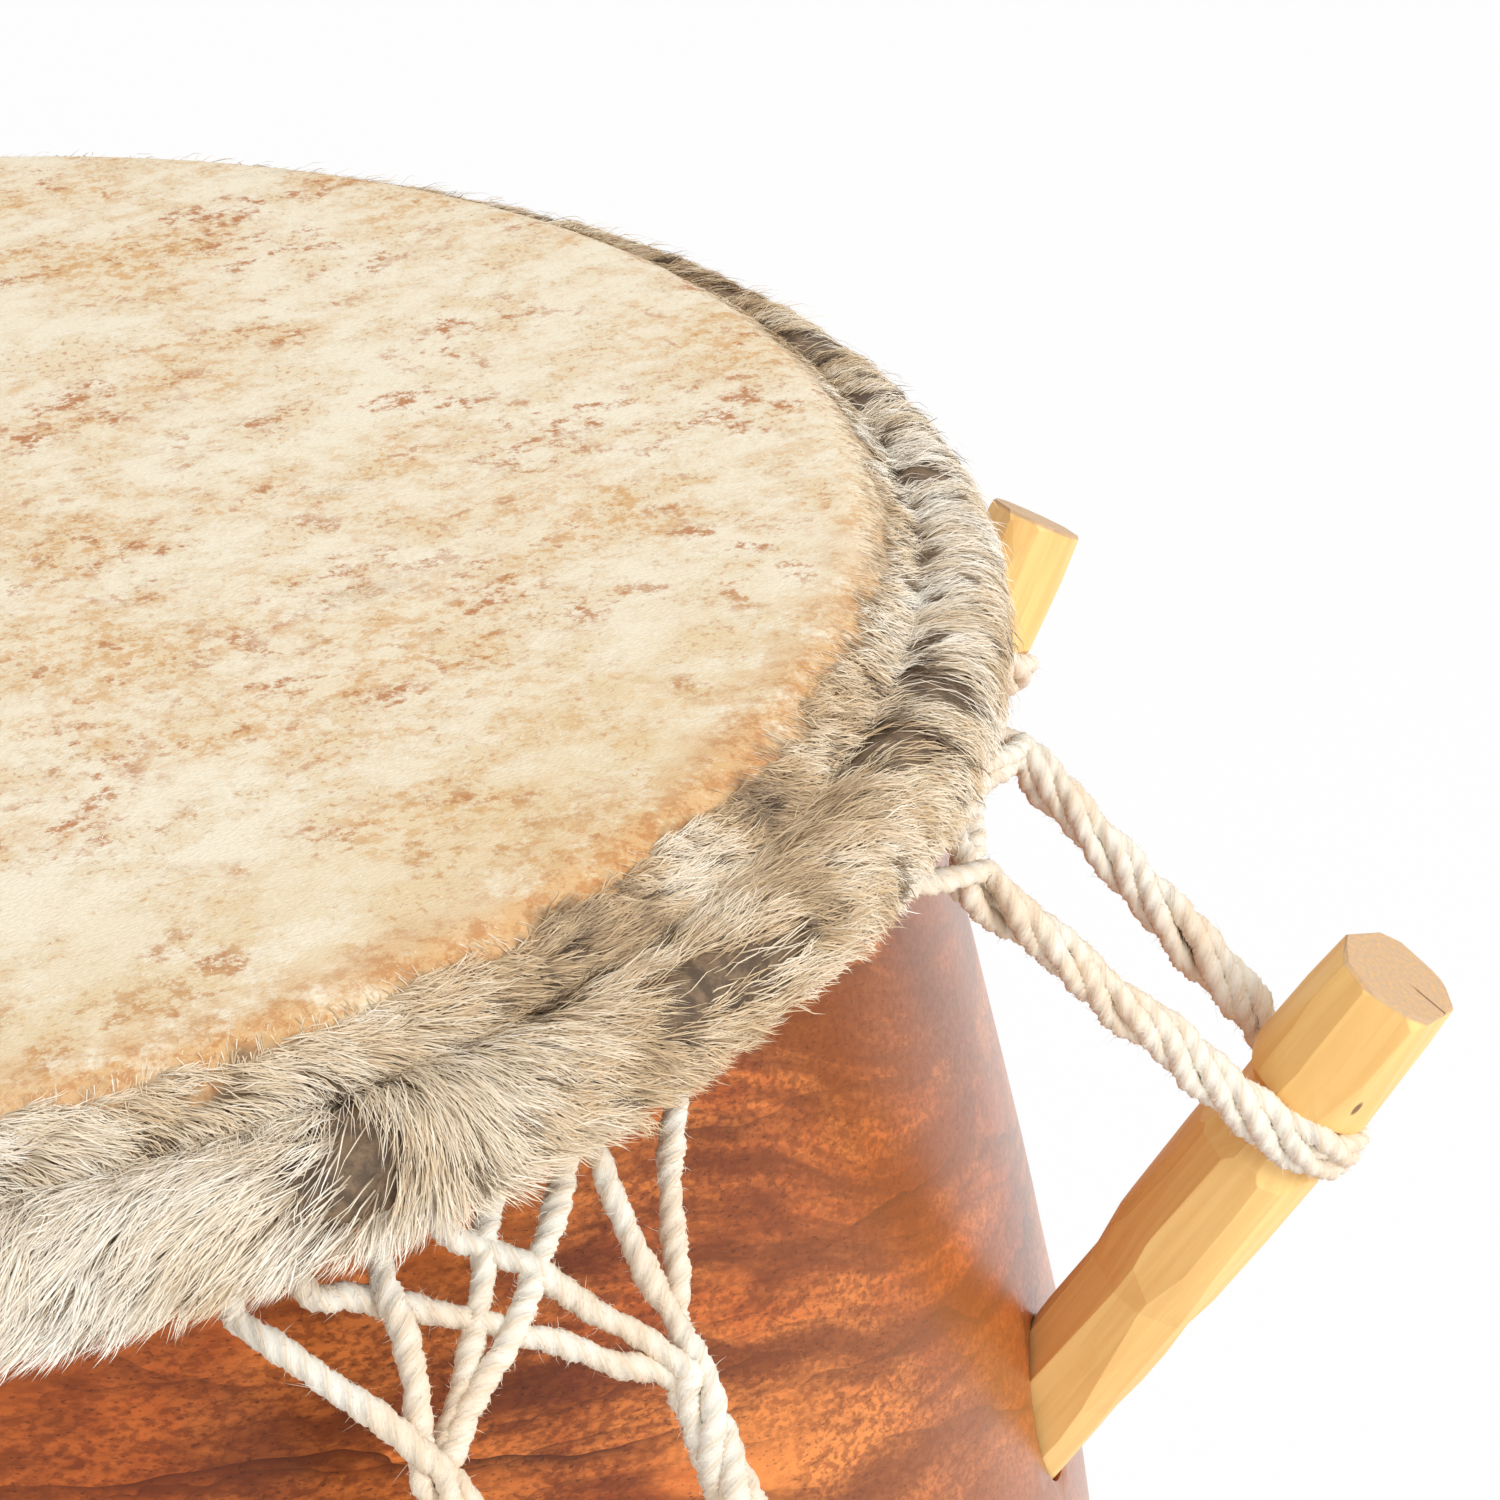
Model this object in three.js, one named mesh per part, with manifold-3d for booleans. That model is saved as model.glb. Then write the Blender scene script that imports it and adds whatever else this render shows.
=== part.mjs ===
// A kpanlogo hand drum: a carved wooden shell, open at its foot, whose goat skin is
// folded over a hoop and pulled down by cord lacing looped round slanting wooden pegs.
// Millimetres, +Z up. The origin is the centre of the foot, on the floor.

import * as THREE from "three";
import { mergeVertices } from "three/addons/utils/BufferGeometryUtils.js";
import Module from "manifold-3d";

const wasm = await Module();
wasm.setup();

// Shell
const HEIGHT = 680;
const SHOULDER_RADIUS = 136.5;
const SHOULDER_DROP = 20;
const BELLY_RADIUS = 166;
const BELLY_DROP = 225;
const WAIST_RADIUS = 110;
const WAIST_HEIGHT = 62;
const FOOT_RADIUS = 117;
const WALL = 17;
const EDGE_ROUND = 6;
const EDGE_LAND = 4;
const EDGE_BEVEL_DROP = 14;

// Skin and hoop
const SKIN = 1.2;
const FUR_HIDE = 2;
const HOOP_ROD_RADIUS = 3;
const HOOP_DROP = 14;
const HEM_DROP = 22;

// Pegs
const PEG_COUNT = 8;
const PEG_FACETS = 9;
const PEG_DROP = 118;
const PEG_LEAN = 32;
const PEG_NECK_RADIUS = 7.7;
const PEG_SWELL_RADIUS = 9.5;
const PEG_TIP_RADIUS = 8.4;
const PEG_REACH = 81;
const PEG_INSIDE = 14;
const PEG_NECK_LENGTH = 21;
const PEG_CHAMFER = 1.2;
const PEG_CLEARANCE = 0.35;

// Lacing: the loop's place, measured back from the peg's tip, and cord sizes
const LOOP_BACK = 24.5;
const BUNDLE_RADIUS = 3.3;
const STRAND_RADIUS = 1.45;
const HOOK_CLEARANCE = 0.4;

// Gap kept between pieces that touch
const GAP = 0.3;

// The pegs were set and whittled by eye, opposite ones alike: degrees off the even place,
// how much shorter outside the shell, and girth as a share of the full one
const PEG_DRIFT = [3.2, 0, -1, 1.2];
const PEG_SHORT = [0, 0, 8, 4];
const PEG_GIRTH = [1, 1, 0.93, 0.97];

// How far from the hem the strands of each peg are gathered, on the left and the right,
// and how far to each side of the peg, in millimetres
const GATHER_LEFT = [24, 9, 14, 18, 12, 20, 16, 13];
const GATHER_RIGHT = [26, 12, 16, 13, 20, 11, 18, 15];
const GATHER_SIDE = [15, 17, 15, 14, 16, 15, 16, 14];

// Each strand comes up from the left of its peg, hooks over the hoop and goes down to the
// right: where it leaves the hem on each side, in degrees off the peg
const HOOKS = [
  [-10.5, -7.6],
  [-4.1, -1.1],
  [1.7, 6.3],
  [5.2, 11.5],
];

// How far a strand turns about the hoop's rod, in degrees from straight out
const HOOK_FROM = -20;
const HOOK_TO = 200;

// Facets round the turned pieces and round a peg's hole
const ROUND = 44;
const HOLE_FACETS = 16;

// The skin's roll stands this much wider than the shoulder, which deepens its facets
const ROLL_WIDENING = 1.1;

const MATERIALS = {
  shell: { color: 0xa5552d, roughness: 0.35, metalness: 0 },
  skin: { color: 0xf0e0bd, roughness: 0.75, metalness: 0 },
  hoop: { color: 0x9a7648, roughness: 0.8, metalness: 0 },
  peg: { color: 0xe3b06c, roughness: 0.55, metalness: 0 },
  lacing: { color: 0xf0e6d6, roughness: 0.9, metalness: 0 },
};

// How far a facet's middle lies inside the circle through its corners
const facetSag = ROLL_WIDENING * SHOULDER_RADIUS * (1 - Math.cos(Math.PI / ROUND));
const hookRadius = HOOP_ROD_RADIUS + facetSag + HOOK_CLEARANCE + STRAND_RADIUS;
const hoopRadius = SHOULDER_RADIUS + GAP + STRAND_RADIUS + hookRadius;
const hoopBack = hookRadius + STRAND_RADIUS + facetSag + GAP;
const edgeRadius = SHOULDER_RADIUS - EDGE_ROUND;
const shellTop = HEIGHT - SKIN - GAP;
const lean = THREE.MathUtils.degToRad(PEG_LEAN);
const outward = new THREE.Vector3(Math.sin(lean), 0, Math.cos(lean));
const facing = new THREE.Vector3(Math.cos(lean), 0, -Math.sin(lean));

// The shell's outside: straight under the edge, a quarter sine out to the belly,
// a half cosine in to the waist, and a short flare to the foot.
function outsideRadius(height) {
  const drop = HEIGHT - height;
  if (drop <= SHOULDER_DROP) {
    return SHOULDER_RADIUS;
  }
  if (drop <= BELLY_DROP) {
    const t = (drop - SHOULDER_DROP) / (BELLY_DROP - SHOULDER_DROP);
    return SHOULDER_RADIUS + (BELLY_RADIUS - SHOULDER_RADIUS) * Math.sin((t * Math.PI) / 2);
  }
  if (height >= WAIST_HEIGHT) {
    const t = (HEIGHT - BELLY_DROP - height) / (HEIGHT - BELLY_DROP - WAIST_HEIGHT);
    return WAIST_RADIUS + ((BELLY_RADIUS - WAIST_RADIUS) * (1 + Math.cos(t * Math.PI))) / 2;
  }
  const t = 1 - height / WAIST_HEIGHT;
  return WAIST_RADIUS + (FOOT_RADIUS - WAIST_RADIUS) * t * t;
}

function boreRadius(height) {
  return outsideRadius(height) - WALL;
}

function point(radius, height) {
  return new THREE.Vector2(radius, height);
}

// Points of an arc in the profile's plane, angles in degrees, both ends included
function arc(radius, height, size, from, to, steps) {
  const points = [];
  for (let i = 0; i <= steps; i += 1) {
    const angle = THREE.MathUtils.degToRad(from + ((to - from) * i) / steps);
    points.push(point(radius + size * Math.cos(angle), height + size * Math.sin(angle)));
  }
  return points;
}

// Turn a profile of radius and height about +Z
function turned(profile, facets = ROUND) {
  return new THREE.LatheGeometry(profile, facets).rotateX(Math.PI / 2);
}

// A geometry as a solid that can be joined and cut
function solid(geometry) {
  const bare = geometry.clone();
  bare.deleteAttribute("normal");
  bare.deleteAttribute("uv");
  const merged = mergeVertices(bare, 1e-4);
  const index = Array.from(merged.index.array);
  const faces = [];
  for (let i = 0; i < index.length; i += 3) {
    const [a, b, c] = index.slice(i, i + 3);
    if (a !== b && b !== c && c !== a) {
      faces.push(a, b, c);
    }
  }
  return new wasm.Manifold(
    new wasm.Mesh({
      numProp: 3,
      vertProperties: new Float32Array(merged.attributes.position.array),
      triVerts: new Uint32Array(faces),
    })
  );
}

function geometryOf(body) {
  const mesh = body.getMesh();
  const geometry = new THREE.BufferGeometry();
  geometry.setAttribute("position", new THREE.BufferAttribute(mesh.vertProperties, 3));
  geometry.setIndex(new THREE.BufferAttribute(mesh.triVerts, 1));
  geometry.computeVertexNormals();
  return geometry;
}

function piece(name, geometry, material) {
  const mesh = new THREE.Mesh(geometry, new THREE.MeshStandardMaterial(MATERIALS[material]));
  mesh.name = name;
  return mesh;
}

function pick(values, index) {
  return values[index % values.length];
}

function pegAngle(index) {
  return THREE.MathUtils.degToRad((360 / PEG_COUNT) * (index - 1.5) + pick(PEG_DRIFT, index));
}

function pegReach(index) {
  return PEG_REACH - pick(PEG_SHORT, index);
}

function loopReach(index) {
  return pegReach(index) - LOOP_BACK;
}

// From a peg's own frame, +Z along it and its origin where it leaves the shell,
// to the drum's
function pegPlace(index) {
  const height = HEIGHT - PEG_DROP;
  const place = new THREE.Matrix4().makeRotationZ(pegAngle(index));
  place.multiply(new THREE.Matrix4().makeTranslation(outsideRadius(height), 0, height));
  return place.multiply(new THREE.Matrix4().makeRotationY(lean));
}

// The length of a peg's axis inside the wall
function wallRun() {
  const start = new THREE.Vector3(outsideRadius(HEIGHT - PEG_DROP), 0, HEIGHT - PEG_DROP);
  let run = 0;
  while (start.x - run * outward.x > boreRadius(start.z - run * outward.z)) {
    run += 0.5;
  }
  return run;
}

function makePeg(index) {
  const girth = pick(PEG_GIRTH, index);
  const reach = pegReach(index);
  const inner = -wallRun() - PEG_INSIDE;
  const profile = [
    point(0, inner),
    point(PEG_NECK_RADIUS - PEG_CHAMFER, inner),
    point(PEG_NECK_RADIUS, inner + PEG_CHAMFER),
    point(PEG_NECK_RADIUS, PEG_NECK_LENGTH),
    point(PEG_SWELL_RADIUS, loopReach(index)),
    point(PEG_TIP_RADIUS, reach - PEG_CHAMFER),
    point(PEG_TIP_RADIUS - PEG_CHAMFER, reach),
    point(0, reach),
  ];
  return turned(profile, PEG_FACETS).scale(girth, girth, 1);
}

function pegHole(index) {
  const length = 2 * (wallRun() + PEG_INSIDE + PEG_NECK_LENGTH);
  const inscribed = PEG_NECK_RADIUS * pick(PEG_GIRTH, index) + PEG_CLEARANCE;
  const radius = inscribed / Math.cos(Math.PI / HOLE_FACETS);
  return new THREE.CylinderGeometry(radius, radius, length, HOLE_FACETS).rotateX(Math.PI / 2);
}

function makeShell() {
  const heights = [0, WAIST_HEIGHT / 2];
  const waistSteps = 8;
  for (let i = 0; i < waistSteps; i += 1) {
    heights.push(THREE.MathUtils.lerp(WAIST_HEIGHT, HEIGHT - BELLY_DROP, i / waistSteps));
  }
  const flankSteps = 6;
  for (let i = 0; i <= flankSteps; i += 1) {
    heights.push(HEIGHT - THREE.MathUtils.lerp(BELLY_DROP, SHOULDER_DROP, i / flankSteps));
  }
  const rim = arc(edgeRadius, shellTop - EDGE_ROUND, EDGE_ROUND, 0, 90, 4);
  const wall = heights.map((height) => point(outsideRadius(height), height));
  const inside = heights.map((height) => point(boreRadius(height), height)).reverse();
  const bevel = [
    point(edgeRadius - EDGE_LAND, shellTop),
    point(SHOULDER_RADIUS - WALL, shellTop - EDGE_BEVEL_DROP),
  ];
  const profile = [...wall, ...rim, ...bevel, ...inside, wall[0].clone()];
  let body = solid(turned(profile));
  for (let i = 0; i < PEG_COUNT; i += 1) {
    body = body.subtract(solid(pegHole(i).applyMatrix4(pegPlace(i))));
  }
  return geometryOf(body);
}

// The skin lies flat on the bearing edge, dips behind it and hooks over the hoop,
// with its furry hem hanging below.
function makeSkin() {
  const edgeHeight = shellTop - EDGE_ROUND;
  const hoopHeight = HEIGHT - HOOP_DROP;
  const hem = HEIGHT - HEM_DROP;
  return turned([
    point(0, HEIGHT - SKIN),
    ...arc(edgeRadius, edgeHeight, EDGE_ROUND + GAP, 90, 25, 3),
    ...arc(hoopRadius, hoopHeight, hoopBack, 120, 0, 5),
    point(hoopRadius + hoopBack, hem),
    point(hoopRadius + hoopBack + FUR_HIDE, hem),
    ...arc(hoopRadius, hoopHeight, hoopBack + FUR_HIDE, 0, 120, 5),
    ...arc(edgeRadius, edgeHeight, EDGE_ROUND + GAP + SKIN, 35, 90, 3),
    point(0, HEIGHT),
  ]);
}

function makeHoop() {
  return turned(arc(hoopRadius, HEIGHT - HOOP_DROP, HOOP_ROD_RADIUS, 0, 360, 8));
}

// A route whose even steps fall on its points, so that a sweep bends just there
class Route extends THREE.Curve {
  constructor(points) {
    super();
    this.points = points;
  }

  getPoint(t) {
    const place = t * (this.points.length - 1);
    const index = Math.min(Math.floor(place), this.points.length - 2);
    return this.points[index].clone().lerp(this.points[index + 1], place - index);
  }

  getPointAt(t) {
    return this.getPoint(t);
  }

  getTangentAt(t) {
    return this.getTangent(t);
  }
}

// A cord of one radius through its points
function cord(points, radius, sides) {
  const section = new THREE.Shape();
  for (let i = 0; i < sides; i += 1) {
    const angle = (2 * Math.PI * i) / sides;
    const corner = [radius * Math.cos(angle), radius * Math.sin(angle)];
    if (i === 0) {
      section.moveTo(...corner);
    } else {
      section.lineTo(...corner);
    }
  }
  return new THREE.ExtrudeGeometry(section, {
    steps: points.length - 1,
    bevelEnabled: false,
    extrudePath: new Route(points),
    curveSegments: 1,
  });
}

// One peg's lacing in its own sector, with the peg's foot on the +X side: the bundle
// loops round the outer face of the peg, and strands run from its two ends over the hoop.
function makeLacing(index) {
  const hoopHeight = HEIGHT - HOOP_DROP;
  const hemHeight = HEIGHT - HEM_DROP;
  const foot = new THREE.Vector3(outsideRadius(HEIGHT - PEG_DROP), 0, HEIGHT - PEG_DROP);
  const centre = foot.clone().addScaledVector(outward, loopReach(index));
  const loopRadius = PEG_SWELL_RADIUS * pick(PEG_GIRTH, index) + GAP + BUNDLE_RADIUS;

  const gather = (side, distance) => {
    const start = new THREE.Vector3(hoopRadius, 0, hemHeight);
    const spot = start.add(centre.clone().sub(start).setLength(distance));
    spot.y = side * pick(GATHER_SIDE, index);
    return spot;
  };
  const round = (degrees) => {
    const angle = THREE.MathUtils.degToRad(degrees);
    const spot = centre.clone().addScaledVector(facing, loopRadius * Math.cos(angle));
    spot.y = loopRadius * Math.sin(angle);
    return spot;
  };
  const left = gather(-1, pick(GATHER_LEFT, index));
  const right = gather(1, pick(GATHER_RIGHT, index));
  const loop = [-90, -60, -30, 0, 30, 60, 90].map(round);
  const middle = (a, b) => a.clone().lerp(b, 0.5);
  const bundle = [left, middle(left, loop[0]), ...loop, middle(loop[6], right), right];
  let body = solid(cord(bundle, BUNDLE_RADIUS, 8));

  const at = (degrees, radius, height) => {
    const angle = THREE.MathUtils.degToRad(degrees);
    return new THREE.Vector3(radius * Math.cos(angle), radius * Math.sin(angle), height);
  };
  const hemPass = (degrees) => at(degrees, hoopRadius + STRAND_RADIUS, hemHeight - STRAND_RADIUS);
  for (const [up, down] of HOOKS) {
    const hook = [];
    const turns = 6;
    for (let i = 0; i <= turns; i += 1) {
      const degrees = THREE.MathUtils.lerp(HOOK_FROM, HOOK_TO, i / turns);
      const angle = THREE.MathUtils.degToRad(degrees);
      const radius = hoopRadius + hookRadius * Math.cos(angle);
      const height = hoopHeight + hookRadius * Math.sin(angle);
      hook.push(at(THREE.MathUtils.lerp(up, down, i / turns), radius, height));
    }
    const strand = [left, hemPass(up), ...hook, hemPass(down), right];
    body = body.add(solid(cord(strand, STRAND_RADIUS, 5)));
  }
  return geometryOf(body);
}

const drum = new THREE.Group();
drum.add(piece("shell", makeShell(), "shell"));
drum.add(piece("drumhead", makeSkin(), "skin"));
drum.add(piece("hoop", makeHoop(), "hoop"));
for (let i = 0; i < PEG_COUNT; i += 1) {
  const peg = piece(`peg_${i + 1}`, makePeg(i), "peg");
  peg.applyMatrix4(pegPlace(i));
  drum.add(peg);
  const lacing = piece(`lacing_${i + 1}`, makeLacing(i), "lacing");
  lacing.rotation.z = pegAngle(i);
  drum.add(lacing);
}

export default drum;
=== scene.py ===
"""The looks of a kpanlogo drum: a carved shell, a goat skin with its fur left on round
the hoop, whittled pegs and laid cotton cord. Metres, +Z up, origin under the foot."""

import math

import bpy
import numpy as np
from mathutils import Matrix, Vector, noise


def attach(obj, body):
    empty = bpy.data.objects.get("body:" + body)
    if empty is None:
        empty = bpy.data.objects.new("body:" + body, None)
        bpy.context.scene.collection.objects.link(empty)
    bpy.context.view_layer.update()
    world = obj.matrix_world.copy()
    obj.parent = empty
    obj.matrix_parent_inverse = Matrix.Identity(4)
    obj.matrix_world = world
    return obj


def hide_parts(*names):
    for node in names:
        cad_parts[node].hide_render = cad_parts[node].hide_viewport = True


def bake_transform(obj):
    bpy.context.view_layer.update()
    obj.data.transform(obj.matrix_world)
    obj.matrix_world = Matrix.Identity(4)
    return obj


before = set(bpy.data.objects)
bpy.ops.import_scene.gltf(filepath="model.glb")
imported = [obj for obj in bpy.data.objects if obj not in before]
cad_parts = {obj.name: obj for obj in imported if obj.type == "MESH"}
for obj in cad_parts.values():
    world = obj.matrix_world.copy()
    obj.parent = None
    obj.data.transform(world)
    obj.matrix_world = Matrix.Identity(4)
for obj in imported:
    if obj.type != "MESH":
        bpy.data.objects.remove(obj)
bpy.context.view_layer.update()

bl_info = {
    "name": "Kpanlogo Drum",
    "version": (1, 0, 0),
    "blender": (4, 5, 0),
    "location": "3D View > Sidebar > Drum",
    "description": "Models the shell, goat skin, fur, pegs and cords of a hand drum",
    "category": "Object",
}

MM = 0.001

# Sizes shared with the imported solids
HEIGHT = 680 * MM
SHOULDER_RADIUS = 136.5 * MM
SHOULDER_DROP = 20 * MM
BELLY_RADIUS = 166 * MM
BELLY_DROP = 225 * MM
WAIST_RADIUS = 110 * MM
WAIST_HEIGHT = 62 * MM
FOOT_RADIUS = 117 * MM
WALL = 17 * MM
EDGE_ROUND = 6 * MM
EDGE_LAND = 4 * MM
EDGE_BEVEL_DROP = 14 * MM
SHELL_TOP = HEIGHT - 1.5 * MM
EDGE_RADIUS = SHOULDER_RADIUS - EDGE_ROUND
HOOP_RADIUS = 143.4 * MM
HOOP_HEIGHT = HEIGHT - 14 * MM
HOOP_ROD = 3 * MM
HOOK_RADIUS = 4.7 * MM
HEM_HEIGHT = HEIGHT - 22 * MM
PEG_COUNT = 8
PEG_FACETS = 9
PEG_HEIGHT = HEIGHT - 118 * MM
PEG_LEAN = math.radians(32)
PEG_NECK_RADIUS = 7.95 * MM
PEG_SWELL_RADIUS = 9.5 * MM
PEG_TIP_RADIUS = 8.4 * MM
PEG_NECK_LENGTH = 21 * MM
PEG_REACH = 81 * MM
PEG_INNER = -40.5 * MM
PEG_CHAMFER = 0.45 * MM
PEG_MOUTH = 9 * MM
HOLE_CLEARANCE = 0.12 * MM
NOTCH_RADIUS = 7.5 * MM
LOOP_BACK = 23 * MM
PEG_DRIFT = (3.2, 0, -1, 1.2)
PEG_SHORT = (0, 0, 8 * MM, 4 * MM)
PEG_GIRTH = (1, 1, 0.93, 0.97)
GATHER_LEFT = (24, 9, 14, 18, 12, 20, 16, 13)
GATHER_RIGHT = (26, 12, 16, 13, 20, 11, 18, 15)
GATHER_SIDE = (15, 17, 15, 14, 16, 15, 16, 14)
HOOKS = ((-10.5, -7.6), (-4.1, -1.1), (1.7, 6.3), (5.2, 11.5))

# The skin's roll over the hoop, under the fur
ROLL_RADIUS = 7.1 * MM
EDGE_CURVE = 7.5 * MM
HIDE_HEM = HEIGHT - 16 * MM

# The fur: the radius where its widths are measured, how far down the band next to the
# shaved skin goes, the size of a lock of hair, how many different locks there are, and
# how many pieces the coat is cut into
FUR_RADIUS = 148 * MM
INNER_BAND = 6.5 * MM
LOCK = 2.7 * MM
LOCKS = 8192
COAT_PIECES = 6

# The cords: facets and plies round one, the length of one step along it, how far each
# lies from the middle of its bundle, and loose fibres on one
CORD_FACETS = 12
CORD_PLIES = 3
CORD_STEP = 0.8 * MM
CORD_APART = 1.62 * MM
CORD_FIBRES = 2600

# How the hair lies, by azimuth in degrees: its turn from straight down the roll, the
# turn of the inner band next to the shaved skin, its length as a share of the full one,
# and how much darker the coat is
COMB_AZIMUTH = (
    *(-180, -140, -110, -95, -80, -70, -62, -52, -44),
    *(-37, -28, -10, 8, 25, 45, 80, 130, 180),
)
COMB_TURN = (-20, -35, -42, -42, -42, -52, 55, 88, 84, 40, 22, 8, 0, -48, -58, -30, 0, -20)
COMB_INNER = (-20, -10, 55, 76, 82, 84, 88, 92, 90, 60, 30, 12, 0, -48, -58, -30, 0, -20)
COMB_LENGTH = (
    *(1, 1, 1.1, 1.1, 1.1, 1, 0.9, 0.82, 0.8),
    *(0.76, 0.8, 0.7, 0.62, 0.55, 0.6, 0.7, 0.9, 1),
)
COMB_SHADE = (5, 0, -8, -12, -13, -6, 6, 14, 14, 10, 6, -4, 2, 16, 16, 5, 0, 5)

# Bare patches of the coat: azimuth, length down the roll, half width round and down, mm
BARE_PATCHES = (
    (-69.7, 21, 6.2, 5),
    (-75.6, 9, 4, 1.4),
    (-52.1, 20.5, 6.2, 4),
    (-47.3, 22, 3, 5),
    (-32.5, 14.5, 6.5, 4.4),
    (-26.8, 17, 5.5, 5),
    (-11, 8.5, 3, 3),
    (-3.5, 14, 4, 6),
    (6, 13, 4, 6),
    (15, 13, 6, 7),
    (24.5, 11, 8, 6),
)


def srgb(red, green, blue):
    """A colour read off a screen, as the linear numbers that a shader takes."""
    return tuple(
        (c / 12.92 if c <= 0.04045 else ((c + 0.055) / 1.055) ** 2.4)
        for c in (red / 255, green / 255, blue / 255)
    )


def colour_setting(name, description, default):
    return bpy.props.FloatVectorProperty(
        name=name,
        description=description,
        subtype="COLOR",
        size=3,
        min=0,
        max=1,
        default=srgb(*default),
    )


def length_setting(name, description, default, low, high):
    return bpy.props.FloatProperty(
        name=name,
        description=description,
        default=default,
        min=low,
        max=high,
        subtype="DISTANCE",
        unit="LENGTH",
        precision=5,
    )


class DrumShellSettings(bpy.types.PropertyGroup):
    # The light and dark wood colours also carry painted light and sheen on the +X side and painted
    # shade on the -X side.
    light: colour_setting("Light wood", "Colour of the palest figure", (232, 140, 70))
    body: colour_setting("Body wood", "Main colour of the lacquered shell", (187, 89, 36))
    dark: colour_setting("Dark wood", "Colour of the broad dark bands", (104, 46, 20))
    line: colour_setting("Dark lines", "Colour of the thin dark lines", (50, 20, 12))
    bore: colour_setting("Bore", "Colour of the bare wood inside", (150, 104, 66))
    carving: length_setting(
        "Carving", "How far the hand-cut outside strays from round", 0.35 * MM, 0, 2 * MM
    )


class DrumSkinSettings(bpy.types.PropertyGroup):
    cream: colour_setting("Cream", "Main colour of the shaved skin", (245, 233, 208))
    tan: colour_setting("Tan", "Colour of the warm blotches", (224, 192, 138))
    speck: colour_setting("Specks", "Colour of the orange-brown specks", (184, 116, 62))
    rim: colour_setting("Rim", "Colour of the golden ring at the edge", (214, 164, 104))
    under: colour_setting("Under fur", "Colour of the hide below the fur", (128, 104, 80))
    thickness: length_setting("Thickness", "Thickness of the hide", 0.85 * MM, 0.5 * MM, 3 * MM)


class DrumFurSettings(bpy.types.PropertyGroup):
    count: bpy.props.IntProperty(
        name="Hairs",
        description="Number of hairs round the roll",
        default=190000,
        min=1000,
        max=300000,
    )
    length: length_setting("Length", "Length of a full hair", 8 * MM, 1 * MM, 30 * MM)
    width: length_setting("Width", "Width of a hair at its root", 0.155 * MM, 0.05 * MM, 1 * MM)
    white: colour_setting("White hair", "Palest hair", (252, 246, 234))
    beige: colour_setting("Beige hair", "Common pale hair", (240, 224, 198))
    sand: colour_setting("Sandy hair", "Warm tan hair", (218, 190, 150))
    taupe: colour_setting("Taupe hair", "Grey-brown hair", (166, 142, 114))
    dark: colour_setting("Dark hair", "Darkest hair", (86, 68, 56))


class DrumPegSettings(bpy.types.PropertyGroup):
    light: colour_setting("Light wood", "Pale wood of the knife cuts", (255, 216, 140))
    shade: colour_setting("Grain", "Darker grain of the pegs", (236, 182, 106))
    end: colour_setting("End grain", "Sawn end of a peg", (204, 170, 134))
    knot: colour_setting("Knot", "Knots and cracks", (116, 74, 42))
    cuts: bpy.props.IntProperty(
        name="Cuts",
        description="Number of knife cuts on each peg",
        default=24,
        min=0,
        max=60,
    )


class DrumCordSettings(bpy.types.PropertyGroup):
    radius: length_setting("Radius", "Radius of one cord", 1.5 * MM, 0.5 * MM, 4 * MM)
    lay: length_setting("Lay", "Length of one turn of the three plies", 8 * MM, 3 * MM, 40 * MM)
    bundle_lay: length_setting(
        "Bundle lay", "Length of one turn of the four cords of a bundle", 29 * MM, 8 * MM, 200 * MM
    )
    cotton: colour_setting("Cotton", "Colour of the cord", (254, 247, 233))
    # The crease colour is painted shade between the plies, and also the colour of the grime.
    crease: colour_setting("Creases", "Colour between the plies", (240, 208, 168))
    hoop: colour_setting("Cane", "Colour of the cane hoop", (168, 132, 84))


class DrumStageSettings(bpy.types.PropertyGroup):
    floor: colour_setting("Floor", "Colour of the floor", (250, 250, 249))
    sky: bpy.props.FloatProperty(
        name="Sky", description="Strength of the even light", default=0.78, min=0, max=3
    )
    key: bpy.props.FloatProperty(
        name="Key light",
        description="Power of the large lamp, in watts",
        default=30,
        min=0,
        max=500,
        subtype="POWER",
        unit="POWER",
    )


# Shapes


def outside_radius(height):
    """The shell's radius at a height: straight, belly, waist and foot."""
    drop = HEIGHT - height
    if drop <= SHOULDER_DROP:
        return SHOULDER_RADIUS
    if drop <= BELLY_DROP:
        share = (drop - SHOULDER_DROP) / (BELLY_DROP - SHOULDER_DROP)
        swell = BELLY_RADIUS - SHOULDER_RADIUS
        return SHOULDER_RADIUS + swell * math.sin(share * math.pi / 2)
    if height >= WAIST_HEIGHT:
        share = (HEIGHT - BELLY_DROP - height) / (HEIGHT - BELLY_DROP - WAIST_HEIGHT)
        return WAIST_RADIUS + (BELLY_RADIUS - WAIST_RADIUS) * (1 + math.cos(share * math.pi)) / 2
    share = 1 - height / WAIST_HEIGHT
    return WAIST_RADIUS + (FOOT_RADIUS - WAIST_RADIUS) * share * share


def arc(radius, height, size, start, end, steps):
    """Points of an arc in the profile's plane, from one angle to another, in degrees."""
    angles = np.radians(np.linspace(start, end, steps + 1))
    return [(radius + size * math.cos(a), height + size * math.sin(a)) for a in angles]


def deselect():
    if bpy.context.object and bpy.context.object.mode != "OBJECT":
        bpy.ops.object.mode_set(mode="OBJECT")
    bpy.ops.object.select_all(action="DESELECT")


def activate(piece):
    deselect()
    piece.select_set(True)
    bpy.context.view_layer.objects.active = piece


def edit_all():
    bpy.ops.object.mode_set(mode="EDIT")
    bpy.ops.mesh.select_all(action="SELECT")


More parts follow.
